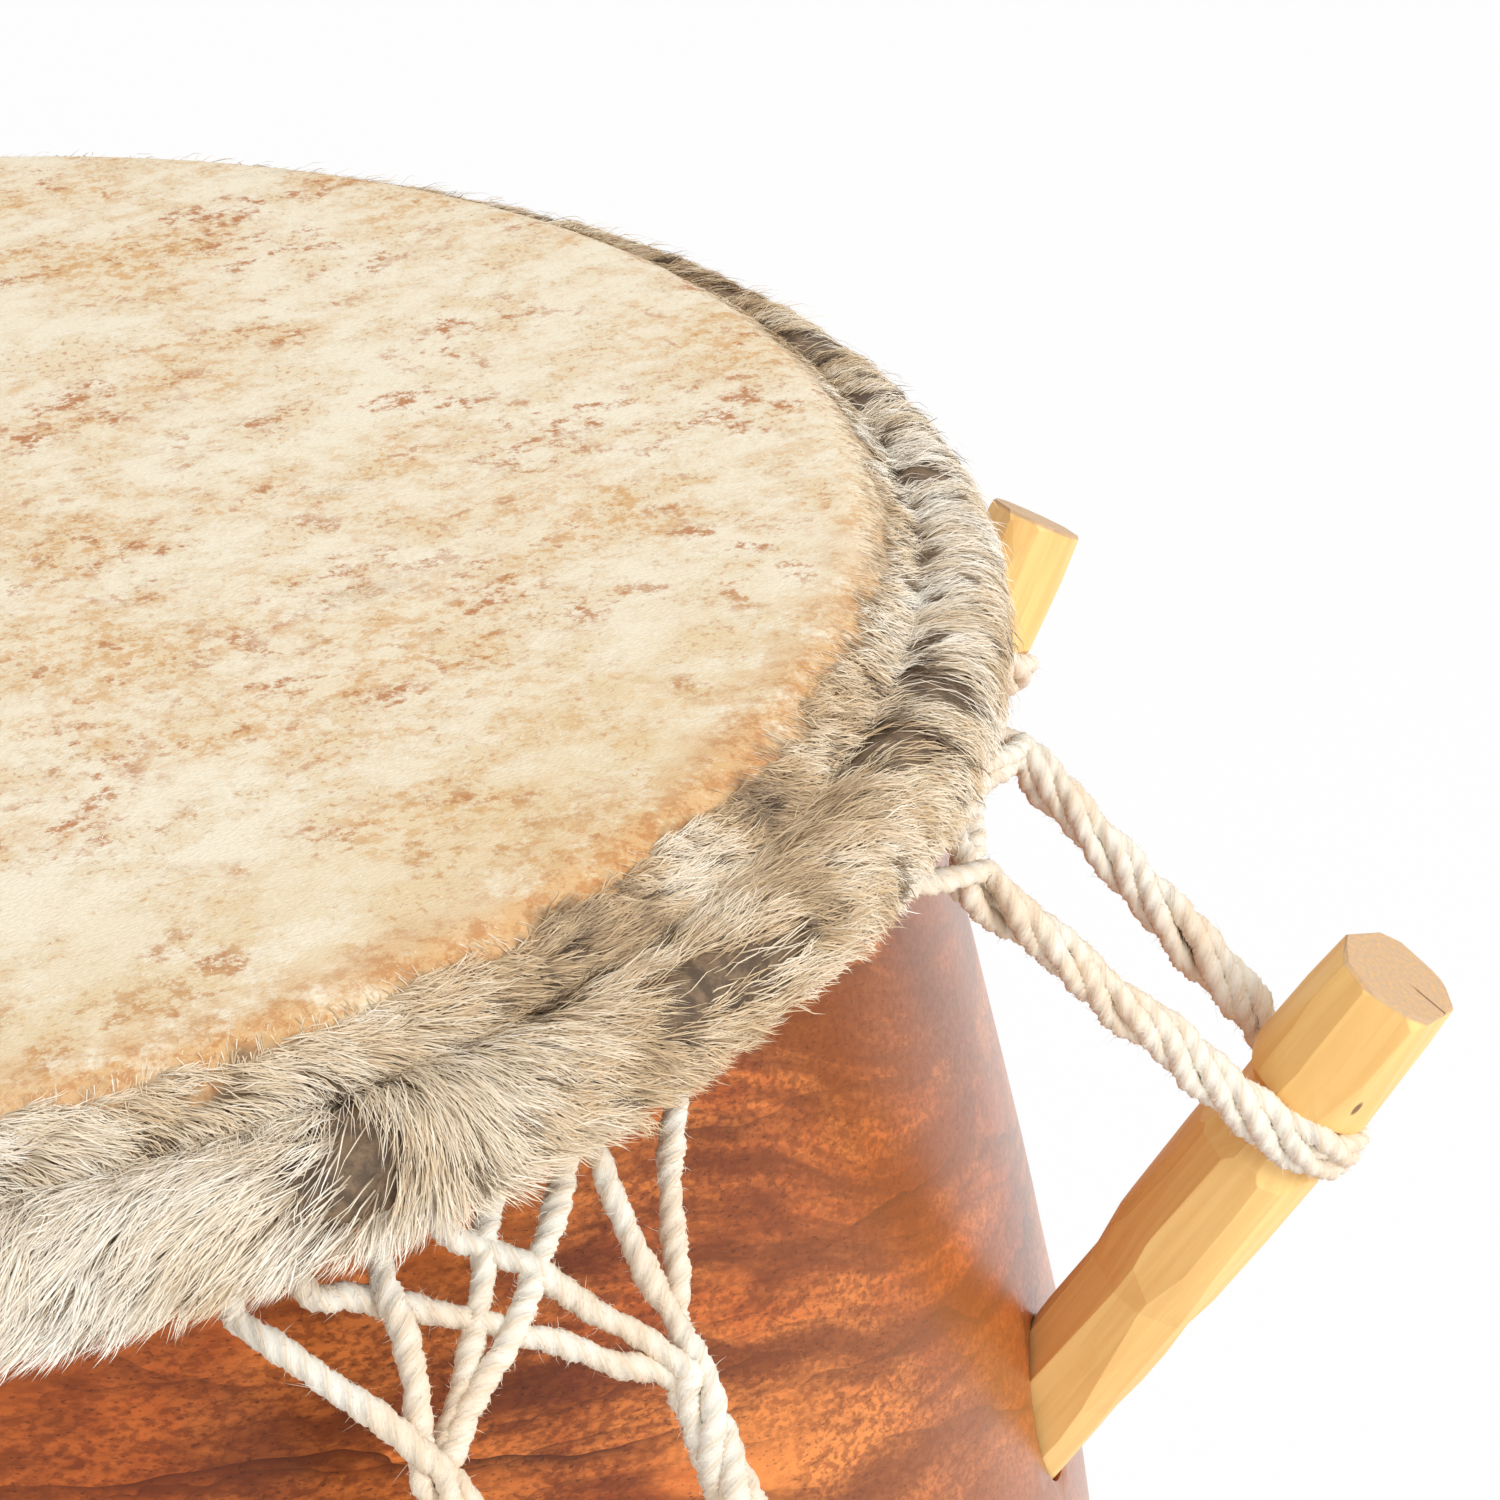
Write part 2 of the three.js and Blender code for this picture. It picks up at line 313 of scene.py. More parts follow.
def finish_modifier(kind, **settings):
    """Adds a modifier to the active object, sets it and applies it."""
    bpy.ops.object.modifier_add(type=kind)
    modifier = bpy.context.object.modifiers[-1]
    for key, value in settings.items():
        setattr(modifier, key, value)
    bpy.ops.object.modifier_apply(modifier=modifier.name)


def bevel_edges(sharper, width, **settings):
    """Rounds the active object's edges that turn by more than some degrees."""
    angle = math.radians(sharper)
    finish_modifier(
        "BEVEL", limit_method="ANGLE", angle_limit=angle, width=width, segments=2, **settings
    )


def spin_profile(name, profile, steps):
    """A mesh turned about +Z from (radius, height) points, left active in object mode."""
    deselect()
    bpy.ops.mesh.primitive_plane_add(size=MM)
    piece = bpy.context.object
    piece.name = piece.data.name = name
    bpy.ops.object.mode_set(mode="EDIT")
    bpy.ops.mesh.merge(type="CENTER")
    bpy.ops.transform.translate(value=(profile[0][0], 0, profile[0][1]))
    for (radius, height), (next_radius, next_height) in zip(profile, profile[1:]):
        move = (next_radius - radius, 0, next_height - height)
        bpy.ops.mesh.extrude_vertices_move(TRANSFORM_OT_translate={"value": move})
    bpy.ops.mesh.select_all(action="SELECT")
    bpy.ops.mesh.spin(steps=steps, angle=math.tau, center=(0, 0, 0), axis=(0, 0, 1))
    bpy.ops.mesh.select_all(action="SELECT")
    bpy.ops.mesh.remove_doubles(threshold=0.01 * MM)
    bpy.ops.mesh.normals_make_consistent(inside=False)
    bpy.ops.object.mode_set(mode="OBJECT")
    return piece


def vertex_places(mesh):
    places = np.empty(len(mesh.vertices) * 3)
    mesh.vertices.foreach_get("co", places)
    return places.reshape(-1, 3)


def move_vertices(mesh, places):
    mesh.vertices.foreach_set("co", places.ravel())
    mesh.update()


def keep_places(mesh, name, places):
    """Stores a point per vertex, which a material reads as its own coordinates."""
    attribute = mesh.attributes.new(name, "FLOAT_VECTOR", "POINT")
    attribute.data.foreach_set("vector", places.astype(np.float32).ravel())


def built_mesh(name, places, corners, totals, map_places=None):
    """A mesh object from arrays: points, the corners of its faces one after another, how
    many each face has, and a map place for each corner."""
    mesh = bpy.data.meshes.new(name)
    mesh.vertices.add(len(places))
    mesh.vertices.foreach_set("co", places.astype(np.float32).ravel())
    mesh.loops.add(len(corners))
    mesh.loops.foreach_set("vertex_index", corners.astype(np.int32))
    mesh.polygons.add(len(totals))
    starts = np.concatenate([[0], np.cumsum(totals)[:-1]])
    mesh.polygons.foreach_set("loop_start", starts.astype(np.int32))
    mesh.update(calc_edges=True)
    if map_places is not None:
        layer = mesh.uv_layers.new(name="OFBake", do_init=False)
        layer.uv.foreach_set("vector", map_places.astype(np.float32).ravel())
    mesh.shade_smooth()
    piece = bpy.data.objects.new(name, mesh)
    bpy.context.collection.objects.link(piece)
    return piece


def patchy(places, cell, seed):
    """Smooth random values, mostly from -1 to 1, at points: soft patches of one size."""
    size = 32
    table = np.random.default_rng(seed).uniform(-1, 1, (size, size, size))
    at = places / cell + 1000
    low = np.floor(at).astype(int)
    part = at - low
    part = part * part * (3 - 2 * part)
    value = np.zeros(len(places))
    for corner in range(8):
        step = np.array([corner & 1, (corner >> 1) & 1, corner >> 2])
        weight = np.prod(np.where(step, part, 1 - part), axis=1)
        index = (low + step) % size
        value += weight * table[index[:, 0], index[:, 1], index[:, 2]]
    return 1.6 * value


def unit(vectors):
    return vectors / np.maximum(np.linalg.norm(vectors, axis=-1, keepdims=True), 1e-12)


def run_along(line):
    """How far along a line each of its points is."""
    return np.concatenate([[0], np.cumsum(np.linalg.norm(np.diff(line, axis=0), axis=1))])


def polar(radius, azimuth, height):
    return np.stack([radius * np.cos(azimuth), radius * np.sin(azimuth), height], -1)


def wear(piece, *materials):
    for material in materials:
        piece.data.materials.append(material)


def peg_angle(index):
    return math.radians(360 / PEG_COUNT * (index - 1.5) + PEG_DRIFT[index % 4])


def peg_reach(index):
    return PEG_REACH - PEG_SHORT[index % 4]


def peg_place(index):
    """From a peg's own frame, +Z along it and its origin on the shell, to the drum's."""
    foot = Vector((outside_radius(PEG_HEIGHT), 0, PEG_HEIGHT))
    turn = Matrix.Rotation(peg_angle(index), 4, "Z")
    return turn @ Matrix.Translation(foot) @ Matrix.Rotation(PEG_LEAN, 4, "Y")


# Materials


def shade(colour, share):
    return tuple(share * part for part in colour)


class Nodes:
    """A node tree being built, and the steps that groups and materials share."""

    def __init__(self, tree):
        self.tree = tree

    def feed(self, socket, value):
        """Links a socket to an output, or sets it to a number, a place or a colour."""
        if isinstance(value, bpy.types.NodeSocket):
            self.tree.links.new(value, socket)
        elif socket.type == "RGBA" and len(value) == 3:
            socket.default_value = (*value, 1)
        else:
            socket.default_value = value

    def node(self, kind, inputs=None, **settings):
        """Adds a node, sets it, and feeds its inputs by name or number."""
        node = self.tree.nodes.new(f"ShaderNode{kind}")
        for key, value in settings.items():
            setattr(node, key, value)
        for key, value in (inputs or {}).items():
            self.feed(node.inputs[key], value)
        return node

    def math(self, operation, *numbers):
        return self.node("Math", dict(enumerate(numbers)), operation=operation).outputs[0]

    def vector(self, operation, *places):
        return self.node("VectorMath", dict(enumerate(places)), operation=operation).outputs[0]

    def step(self, value, low, high):
        """A soft step from 0 to 1 as a value passes from one level to another."""
        levels = {"Value": value, "From Min": low, "From Max": high}
        return self.node("MapRange", levels, interpolation_type="SMOOTHSTEP").outputs["Result"]


class MaskGroup(Nodes):
    """A node group that puts out one mask, with a socket for each named input."""

    def __init__(self, name, **inputs):
        super().__init__(bpy.data.node_groups.new(name, "ShaderNodeTree"))
        sockets = self.tree.interface
        for label, default in inputs.items():
            kind = "NodeSocketVector" if isinstance(default, tuple) else "NodeSocketFloat"
            socket = sockets.new_socket(name=label, in_out="INPUT", socket_type=kind)
            socket.default_value = default
        sockets.new_socket(name="Mask", in_out="OUTPUT", socket_type="NodeSocketFloat")
        self.given = self.tree.nodes.new("NodeGroupInput").outputs
        self.result = self.tree.nodes.new("NodeGroupOutput").inputs["Mask"]


def figure_group():
    """Soft noise that can be stretched and warped, cut between two levels."""
    levels = {"Low": 0.4, "High": 0.6}
    noise_settings = {"Warp": 0.0, "Detail": 3.0, "Rough": 0.5}
    group = MaskGroup("figure", Place=(0, 0, 0), Scale=(1, 1, 1), **noise_settings, **levels)
    given = group.given
    wave = group.node("TexNoise", {"Vector": given["Place"], "Scale": 14.0, "Detail": 2.0})
    push = group.vector("SUBTRACT", wave.outputs["Color"], (0.5, 0.5, 0.5))
    push = group.node("VectorMath", {0: push, "Scale": given["Warp"]}, operation="SCALE")
    spread = group.vector("MULTIPLY", given["Place"], given["Scale"])
    moved = group.vector("ADD", spread, push.outputs[0])
    cloud = {"Vector": moved, "Scale": 1.0, "Detail": given["Detail"], "Roughness": given["Rough"]}
    cloud = group.node("TexNoise", cloud).outputs["Fac"]
    group.feed(group.result, group.step(cloud, given["Low"], given["High"]))
    return group.tree


def band_group():
    """A soft step from 0 to 1 as a value passes from one level to another."""
    group = MaskGroup("band", Value=0.0, From=0.0, To=1.0)
    given = group.given
    group.feed(group.result, group.step(given["Value"], given["From"], given["To"]))
    return group.tree


class Finish(Nodes):
    """A material being made: its shader, and the steps that its patterns are built from."""

    groups = {}

    def __init__(self, name):
        self.material = bpy.data.materials.new(name)
        self.material.use_nodes = True
        super().__init__(self.material.node_tree)
        self.shader = self.tree.nodes["Principled BSDF"]

    def place(self):
        return self.node("TexCoord").outputs["Object"]

    def stored(self, name):
        return self.node("Attribute", attribute_name=name).outputs["Vector"]

    def map_parts(self):
        """The piece's own map: as a place, across it and along it."""
        spot = self.node("UVMap", uv_map="OFBake").outputs[0]
        return spot, self.axis(spot, "X"), self.axis(spot, "Y")

    def mapped(self, place, turn=(0, 0, 0), scale=(1, 1, 1)):
        turn = tuple(math.radians(angle) for angle in turn)
        inputs = {"Vector": place, "Rotation": turn, "Scale": scale}
        return self.node("Mapping", inputs).outputs[0]

    def axis(self, place, name):
        return self.node("SeparateXYZ", {0: place}).outputs[name]

    def length(self, place):
        return self.node("VectorMath", {0: place}, operation="LENGTH").outputs["Value"]

    def figure(self, place, scale, low, high, warp=0.0, detail=3.0, rough=0.5):
        """A mask of soft patches: how many a metre each way, and where they start and end
        in the noise; how far they wander, and how finely and roughly they are broken."""
        inputs = {"Place": place, "Scale": scale, "Warp": warp, "Detail": detail, "Rough": rough}
        inputs |= {"Low": low, "High": high}
        return self.node("Group", inputs, node_tree=Finish.groups["figure"]).outputs["Mask"]

    def even(self, place, size, *levels):
        return self.figure(place, (size, size, size), *levels)

    def band(self, value, start, end):
        inputs = {"Value": value, "From": start, "To": end}
        return self.node("Group", inputs, node_tree=Finish.groups["band"]).outputs["Mask"]

    def times(self, first, *others):
        for other in others:
            first = self.math("MULTIPLY", first, other)
        return first

    def rest(self, mask):
        return self.math("SUBTRACT", 1.0, mask)

    def mix(self, share, first, second, blend="MIX"):
        """From one colour to another by a mask."""
        colours = {0: share, 6: first, 7: second}
        return self.node("Mix", colours, data_type="RGBA", blend_type=blend).outputs[2]

    def paint(self, colour, *coats):
        """Lays coats over a colour: each an ink, the mask where it goes, and its most."""
        for ink, mask, most in coats:
            colour = self.mix(self.times(mask, most), colour, ink)
        return colour

    def set(self, **values):
        for key, value in values.items():
            name = key.replace("_", " ").title().replace("Ior", "IOR")
            self.feed(self.shader.inputs[name], value)

    def bump(self, height, depth):
        node = self.node("Bump", {"Height": height, "Distance": depth, "Strength": 1.0})
        self.feed(self.shader.inputs["Normal"], node.outputs["Normal"])


# The shell's year lines, by kind: how far apart, a number that makes each kind bend and
# break its own way, and how dark they get
YEAR_LINES = ((14 * MM, 0.0, 0.9), (4.9 * MM, 3.0, 0.6), (1.9 * MM, 7.0, 0.4))


def lacquered_wood(settings):
    """Red-brown shell wood under a satin lacquer, its figure running round the drum, with painted
    shade on its -X side and painted light and sheen on its +X side.
    """
    wood = Finish("shell lacquered wood")
    upright = wood.place()
    place = wood.mapped(upright, turn=(25, -8, 0))
    height = wood.axis(place, "Z")
    side = wood.axis(upright, "X")
    # Painted shade darkens the -X side of the shell, and painted light and sheen lighten its +X
    # side.
    painted_shade_side = wood.rest(wood.band(side, 0, 90 * MM))
    painted_light_side = wood.band(side, 80 * MM, 150 * MM)
    tone = wood.figure(place, (14, 14, 30), 0.4, 0.6, 1.0, 8.0, 0.66)
    # Less of the light wood on the painted shade side.
    tone = wood.times(tone, wood.rest(wood.times(painted_shade_side, 0.8)))
    bands = wood.figure(place, (8, 8, 64), 0.44, 0.58, 1.6, 9.0, 0.68)
    calm = wood.math("MAXIMUM", wood.figure(upright, (7, 7, 9), 0.32, 0.56), 0.5)
    colour = wood.mix(tone, settings.body, settings.light)
    colour = wood.paint(colour, (settings.dark, wood.times(bands, calm), 0.85))
    stretched = wood.mapped(place, scale=(1, 1, 2.6))
    for spacing, seed, most in YEAR_LINES:
        sway = {"Vector": stretched, "Scale": 9.0 + seed, "Detail": 5.0, "Roughness": 0.5}
        sway = wood.node("TexNoise", sway).outputs["Fac"]
        year = wood.math("ADD", height, wood.times(sway, 0.05))
        year = wood.math("FRACT", wood.math("DIVIDE", year, spacing))
        year = wood.math("POWER", year, 7.0)
        strength = wood.figure(place, (15 + seed, 15, 50), 0.38, 0.6, 0.8, 6.0, 0.6)
        colour = wood.paint(colour, (settings.line, wood.times(year, strength), most))
    curl = wood.figure(place, (680, 680, 1250), 0.42, 0.6, 0.4, 4.0, 0.6)
    herd = wood.figure(place, (22, 22, 40), 0.3, 0.58)
    mottle = wood.figure(place, (70, 70, 220), 0.46, 0.64, 0.8, 8.0, 0.72)
    pores = wood.figure(place, (1000, 1000, 2600), 0.66, 0.74, 0.0, 1.0)
    foot = wood.rest(wood.band(wood.axis(upright, "Z"), 0.5 * MM, 9 * MM))
    worn = wood.times(wood.figure(upright, (160, 160, 260), 0.36, 0.56, 0.6, 6.0, 0.7), foot)
    colour = wood.paint(
        colour,
        (settings.dark, mottle, 0.5),
        (settings.dark, wood.times(curl, herd), 0.65),
        (settings.line, pores, 0.35),
        # Painted shade on the -X side and painted light and sheen on the +X side.
        (settings.dark, painted_shade_side, 0.2),
        (settings.light, painted_light_side, 0.3),
        (settings.bore, worn, 0.85),
    )
    facing = wood.node("LayerWeight", {"Blend": 0.5}).outputs["Facing"]
    wood.set(
        base_color=colour,
        roughness=wood.math("MULTIPLY_ADD", wood.math("MAXIMUM", curl, worn), 0.1, 0.34),
        specular_ior_level=0.1,
        coat_weight=wood.math("MULTIPLY_ADD", wood.band(facing, 0.5, 0.9), 0.75, 0.25),
        coat_ior=1.5,
        coat_roughness=0.28,
    )
    wood.bump(wood.math("SUBTRACT", wood.times(curl, 0.2), pores), 0.1 * MM)
    return wood.material


def bare_bore(settings):
    """The unlacquered inside, with the marks of the gouge running up it."""
    wood = Finish("shell bare bore")
    place = wood.place()
    gouge = wood.figure(place, (90, 90, 12), 0.35, 0.65, 0.6)
    fibres = wood.figure(place, (420, 420, 30), 0.3, 0.7, 0.4)
    colour = wood.mix(fibres, settings.bore, settings.body)
    wood.set(base_color=wood.paint(colour, (settings.dark, gouge, 0.45)), roughness=0.8)
    wood.bump(wood.math("ADD", gouge, wood.times(fibres, 0.3)), 0.5 * MM)
    return wood.material


def shaved_skin(settings):
    """Shaved goat skin: cream with warm blotches, streaks and specks, golden at its edge."""
    skin = Finish("goat skin shaved")
    place = skin.place()
    turned = skin.mapped(place, turn=(0, 0, -18))
    ragged = skin.times(skin.even(place, 160, 0.2, 0.8), 5 * MM)
    radius = skin.math("ADD", skin.length(skin.vector("MULTIPLY", place, (1, 1, 0))), ragged)
    blotch = skin.figure(turned, (26, 36, 30), 0.42, 0.64, 0.8, 10.0, 0.7)
    cloud = skin.figure(turned, (90, 105, 90), 0.47, 0.6, 0.4, 10.0, 0.78)
    herd = skin.figure(turned, (40, 52, 40), 0.45, 0.58, 1.0, 5.0)
    grit = skin.figure(turned, (360, 400, 380), 0.47, 0.57, 0.0, 8.0, 0.78)
    patch = skin.figure(turned, (125, 150, 120), 0.52, 0.6, 0.2, 8.0, 0.75)
    specks = skin.figure(turned, (620, 700, 660), 0.42, 0.52, 0.0, 6.0, 0.7)
    dots = skin.figure(turned, (300, 340, 320), 0.59, 0.64, 0.0, 5.0, 0.66)
    fine = skin.even(place, 1000, 0.54, 0.64, 0.0, 3.0, 0.6)
    grain = skin.figure(turned, (1500, 2600, 2300), 0.3, 0.7, 0.0, 2.0)
    scuff = skin.figure(turned, (24, 60, 40), 0.6, 0.68, 0.6, 8.0, 0.7)
    front = skin.rest(skin.band(skin.axis(place, "Y"), -70 * MM, -20 * MM))
    edge_tone = skin.even(place, 130, 0.36, 0.54, 0.8, 10.0, 0.78)
    inner = skin.times(skin.band(radius, 96 * MM, 126 * MM), front, edge_tone)
    edge = skin.times(skin.band(radius, 126 * MM, 137 * MM), front, edge_tone)
    mottled = skin.even(place, 330, 0.4, 0.6, 0.0, 6.0, 0.7)
    under_fur = skin.mix(mottled, settings.under, shade(settings.under, 0.45))
    colour = skin.paint(
        skin.mix(grain, settings.cream, shade(settings.cream, 0.91)),
        (settings.tan, blotch, 0.38),
        (settings.tan, cloud, 0.42),
        (settings.rim, skin.times(grit, blotch), 0.8),
        (settings.speck, skin.times(fine, cloud), 0.6),
        (settings.under, skin.times(scuff, grain), 0.3),
        (settings.speck, skin.times(dots, blotch), 0.8),
        (settings.speck, skin.times(patch, herd, specks), 0.9),
        (settings.tan, inner, 0.45),
        (settings.rim, edge, 0.75),
        (settings.speck, skin.times(edge, grit), 0.6),
        (under_fur, skin.band(radius, 137 * MM, 141 * MM), 1.0),
    )
    skin.set(base_color=colour, roughness=0.62, specular_ior_level=0.35)
    skin.bump(skin.math("ADD", skin.times(cloud, 0.5), grain), 0.05 * MM)
    return skin.material


def goat_hair(settings):
    """Hair whose map runs through the coat's colours one way and root to tip the other; the roots
    are darker, partly their own colour and partly painted shade among the hairs.
    """
    hair = Finish("goat hair")
    _, tone, along = hair.map_parts()
    ramp = hair.node("ValToRGB", {"Fac": tone})
    stops = ramp.color_ramp.elements
    coat = (settings.white, settings.beige, settings.sand, settings.taupe, settings.dark)
    shares = (0.05, 0.3, 0.48, 0.68, 0.95)
    while len(stops) < len(coat):
        stops.new(0.5)
    for stop, share, colour in zip(stops, shares, coat):
        stop.position = share
        stop.color = (*colour, 1)
    colour = ramp.outputs["Color"]
    # Darker roots: partly the hair's own darker base, partly painted shade down among the hairs.
    root = hair.mix(1.0, colour, (0.56, 0.5, 0.43), "MULTIPLY")
    colour = hair.mix(hair.band(along, 0.0, 0.55), root, colour)
    hair.set(base_color=colour, roughness=0.55, specular_ior_level=0.3)
    return hair.material


def whittled_wood(settings):
    """Pale peg wood, grain along the peg, sawn end grain at its tip."""
    wood = Finish("peg whittled wood")
    place = wood.stored("grain")
    own = wood.stored("peg_place")
    across, over, up = (wood.axis(own, name) for name in "XYZ")
    grain = wood.figure(place, (520, 520, 16), 0.36, 0.66, 0.5)
    broad = wood.figure(place, (130, 130, 20), 0.38, 0.7, 0.8)
    dirt = wood.figure(place, (150, 150, 70), 0.6, 0.75, 0.6)
    knot = wood.vector("ADD", own, (-4.4 * MM, 7.2 * MM, 15 * MM))
    knot = wood.length(wood.vector("MULTIPLY", knot, (1, 1, 0.55)))
    knot = wood.rest(wood.band(knot, 0.4 * MM, 0.8 * MM))
    colour = wood.paint(
        settings.light,
        (settings.shade, grain, 0.4),
        (settings.shade, broad, 0.5),
        (settings.knot, dirt, 0.08),
        (settings.knot, knot, 0.9),
    )
    off_centre = wood.vector("MULTIPLY", own, (1, 1, 0))
    off_centre = wood.vector("SUBTRACT", off_centre, (1.5 * MM, -1 * MM, 0))
    rings = wood.math("SINE", wood.times(wood.length(off_centre), 5200.0))
    crack = wood.math("ABSOLUTE", wood.math("ADD", over, wood.times(across, 0.35)))
    crack = wood.rest(wood.band(crack, 0.1 * MM, 0.32 * MM))
    end = wood.paint(
        wood.mix(wood.band(rings, -0.4, 1.0), settings.end, shade(settings.end, 0.96)),
        (settings.shade, wood.even(place, 1500, 0.4, 0.7), 0.5),
        (settings.knot, wood.times(crack, wood.band(across, 1.5 * MM, 3 * MM)), 0.85),
    )
    colour = wood.mix(wood.band(up, -0.7 * MM, -0.3 * MM), colour, end)
    wood.set(base_color=colour, roughness=0.48, specular_ior_level=0.4)
    wood.bump(grain, 0.04 * MM)
    return wood.material


def cotton(settings):
    """Off-white cotton: fibres along each ply, with painted shade where the plies meet."""
    cord = Finish("cotton cord")
    spot, around, _ = cord.map_parts()
    ply = cord.math("FRACT", cord.times(around, float(CORD_PLIES * len(HOOKS))))
    # Painted shade in the creases between the plies.
    crease = cord.band(cord.math("ABSOLUTE", cord.math("SUBTRACT", ply, 0.5)), 0.28, 0.5)
    fibres = cord.figure(spot, (260, 130, 1), 0.35, 0.68, 0.0, 2.0)
    grime = cord.even(cord.place(), 95, 0.42, 0.66, 0.0, 6.0, 0.6)
    colour = cord.paint(
        cord.mix(fibres, settings.cotton, shade(settings.cotton, 0.94)),
        (settings.crease, crease, 0.45),
        (settings.crease, grime, 0.5),
    )
    cord.set(base_color=colour, roughness=0.9, specular_ior_level=0.2)
    cord.bump(cord.math("ADD", fibres, cord.times(crease, -0.6)), 0.03 * MM)
    return cord.material


def bent_cane(settings):
    """Bare cane, with fibres round the hoop."""
    cane = Finish("hoop bent cane")
    place = cane.place()
    fibres = cane.figure(place, (60, 60, 1300), 0.35, 0.65)
    stain = cane.even(place, 30, 0.4, 0.7)
    colour = cane.mix(fibres, settings.hoop, shade(settings.hoop, 0.6))
    colour = cane.paint(colour, (shade(settings.hoop, 0.4), stain, 0.5))
    cane.set(base_color=colour, roughness=0.7)
    cane.bump(fibres, 0.1 * MM)
    return cane.material


# The shell


class DRUM_OT_shell(bpy.types.Operator):
    """Carves the shell: belly, waist, bearing edge, through bore and eight peg holes"""

    bl_idname = "drum.shell"
    bl_label = "Shell"

    def execute(self, context):
        settings = context.scene.drum_shell
        shell = spin_profile("shell_wood", shell_profile(), 216)
        carve(shell.data, settings.carving)
        drill_peg_holes(shell)
        bevel_edges(50, 0.4 * MM, use_clamp_overlap=False)
        edit_all()
        bpy.ops.mesh.remove_doubles(threshold=0.003 * MM)
        bpy.ops.mesh.dissolve_degenerate(threshold=0.003 * MM)
        bpy.ops.object.mode_set(mode="OBJECT")
        bpy.ops.object.shade_smooth_by_angle(angle=math.radians(35))
        wear(shell, lacquered_wood(settings), bare_bore(settings))
        for face in shell.data.polygons:
            radius = face.center.xy.length
            inside = radius < outside_radius(face.center.z) - 3 * MM
            face.material_index = int(inside and face.center.z < SHELL_TOP - MM)
        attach(shell, "drum")
        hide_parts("shell")
        return {"FINISHED"}


def shell_profile():
    """Up the outside from the foot, over the bearing edge and down the bore."""
    rim = arc(EDGE_RADIUS, SHELL_TOP - EDGE_ROUND, EDGE_ROUND, 0, 90, 8)
    land = [
        (EDGE_RADIUS - EDGE_LAND, SHELL_TOP),
        (SHOULDER_RADIUS - WALL, SHELL_TOP - EDGE_BEVEL_DROP),
    ]
    heights = np.linspace(0, HEIGHT - SHOULDER_DROP, 76).tolist()
    outside = [(outside_radius(z), z) for z in heights]
    heights = np.linspace(SHELL_TOP - EDGE_BEVEL_DROP - 4 * MM, 0, 48).tolist()
    inside = [(outside_radius(z) - WALL, z) for z in heights]
    return [*outside, *rim, *land, *inside, outside[0]]


def carve(mesh, depth):
    """Moves the outside in and out a little, as a hand-carved shell strays from round."""
    places = vertex_places(mesh)
    for place in places:
        radius = math.hypot(place[0], place[1])
        if radius > outside_radius(place[2]) - MM and place[2] > MM:
            stray = noise.noise(Vector(place) * 24) + 0.5 * noise.noise(Vector(place) * 70)
            place[:2] *= 1 + depth * stray / radius
    move_vertices(mesh, places)


def drill_peg_holes(shell):
    deselect()
    for index in range(PEG_COUNT):
        place = peg_place(index)
        bpy.ops.mesh.primitive_cylinder_add(
            vertices=36,
            radius=(PEG_NECK_RADIUS + HOLE_CLEARANCE) * PEG_GIRTH[index % 4],
            depth=90 * MM,
            location=place @ Vector((0, 0, -12 * MM)),
            rotation=place.to_euler(),
        )
        drill = bpy.context.object
        if index:
            drill.select_set(True)
            drills.select_set(True)
            bpy.context.view_layer.objects.active = drills
            bpy.ops.object.join()
        else:
            drills = drill
        deselect()
    activate(shell)
    finish_modifier("BOOLEAN", operation="DIFFERENCE", solver="EXACT", object=drills)
    bpy.data.objects.remove(drills)


# The skin and its fur


def roll_profile():
    """The hide's outside from the shaved edge over the hoop to its hem."""
    edge = arc(EDGE_RADIUS, SHELL_TOP - EDGE_ROUND, EDGE_CURVE, 90, 38, 8)
    roll = arc(HOOP_RADIUS, HOOP_HEIGHT, ROLL_RADIUS, 117, 0, 18)
    hem = [(HOOP_RADIUS + ROLL_RADIUS, HIDE_HEM)]
    return edge, roll, hem


class DRUM_OT_skin(bpy.types.Operator):
    """Stretches the goat skin over the bearing edge and rolls it round the hoop"""

    bl_idname = "drum.skin"
    bl_label = "Skin"

    def execute(self, context):
        settings = context.scene.drum_skin
        edge, roll, hem = roll_profile()
        flat = [(r * MM, HEIGHT) for r in (0, 12, 30, 50, 70, 88, 104, 116, 124)]
        skin = spin_profile("goat_skin", [*flat, *edge, *roll, *hem], 256)
        if skin.data.polygons[0].normal.z < 0:
            skin.data.flip_normals()
        pucker(skin.data)
        finish_modifier("SOLIDIFY", thickness=settings.thickness, offset=-1)
        bpy.ops.object.shade_smooth_by_angle(angle=math.radians(50))
        wear(skin, shaved_skin(settings))
        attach(skin, "drum")
        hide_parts("drumhead")
        return {"FINISHED"}


def pucker(mesh):
    """Lets the roll swell and the hem hang unevenly, as gathered hide does."""
    places = vertex_places(mesh)
    radius = np.hypot(places[:, 0], places[:, 1])
    on_roll = np.clip((radius - 138 * MM) / (6 * MM), 0, 1)
    swell = 0.35 * MM * patchy(places, 22 * MM, 5) * on_roll
    outward = places[:, :2] / np.maximum(radius, MM)[:, None]
    places[:, :2] += outward * swell[:, None]
    low = np.clip((HOOP_HEIGHT - places[:, 2]) / (HOOP_HEIGHT - HIDE_HEM), 0, 1)
    around = places * [1, 1, 0]
    places[:, 2] += 1.2 * MM * patchy(around, 14 * MM, 6) * low
    move_vertices(mesh, places)


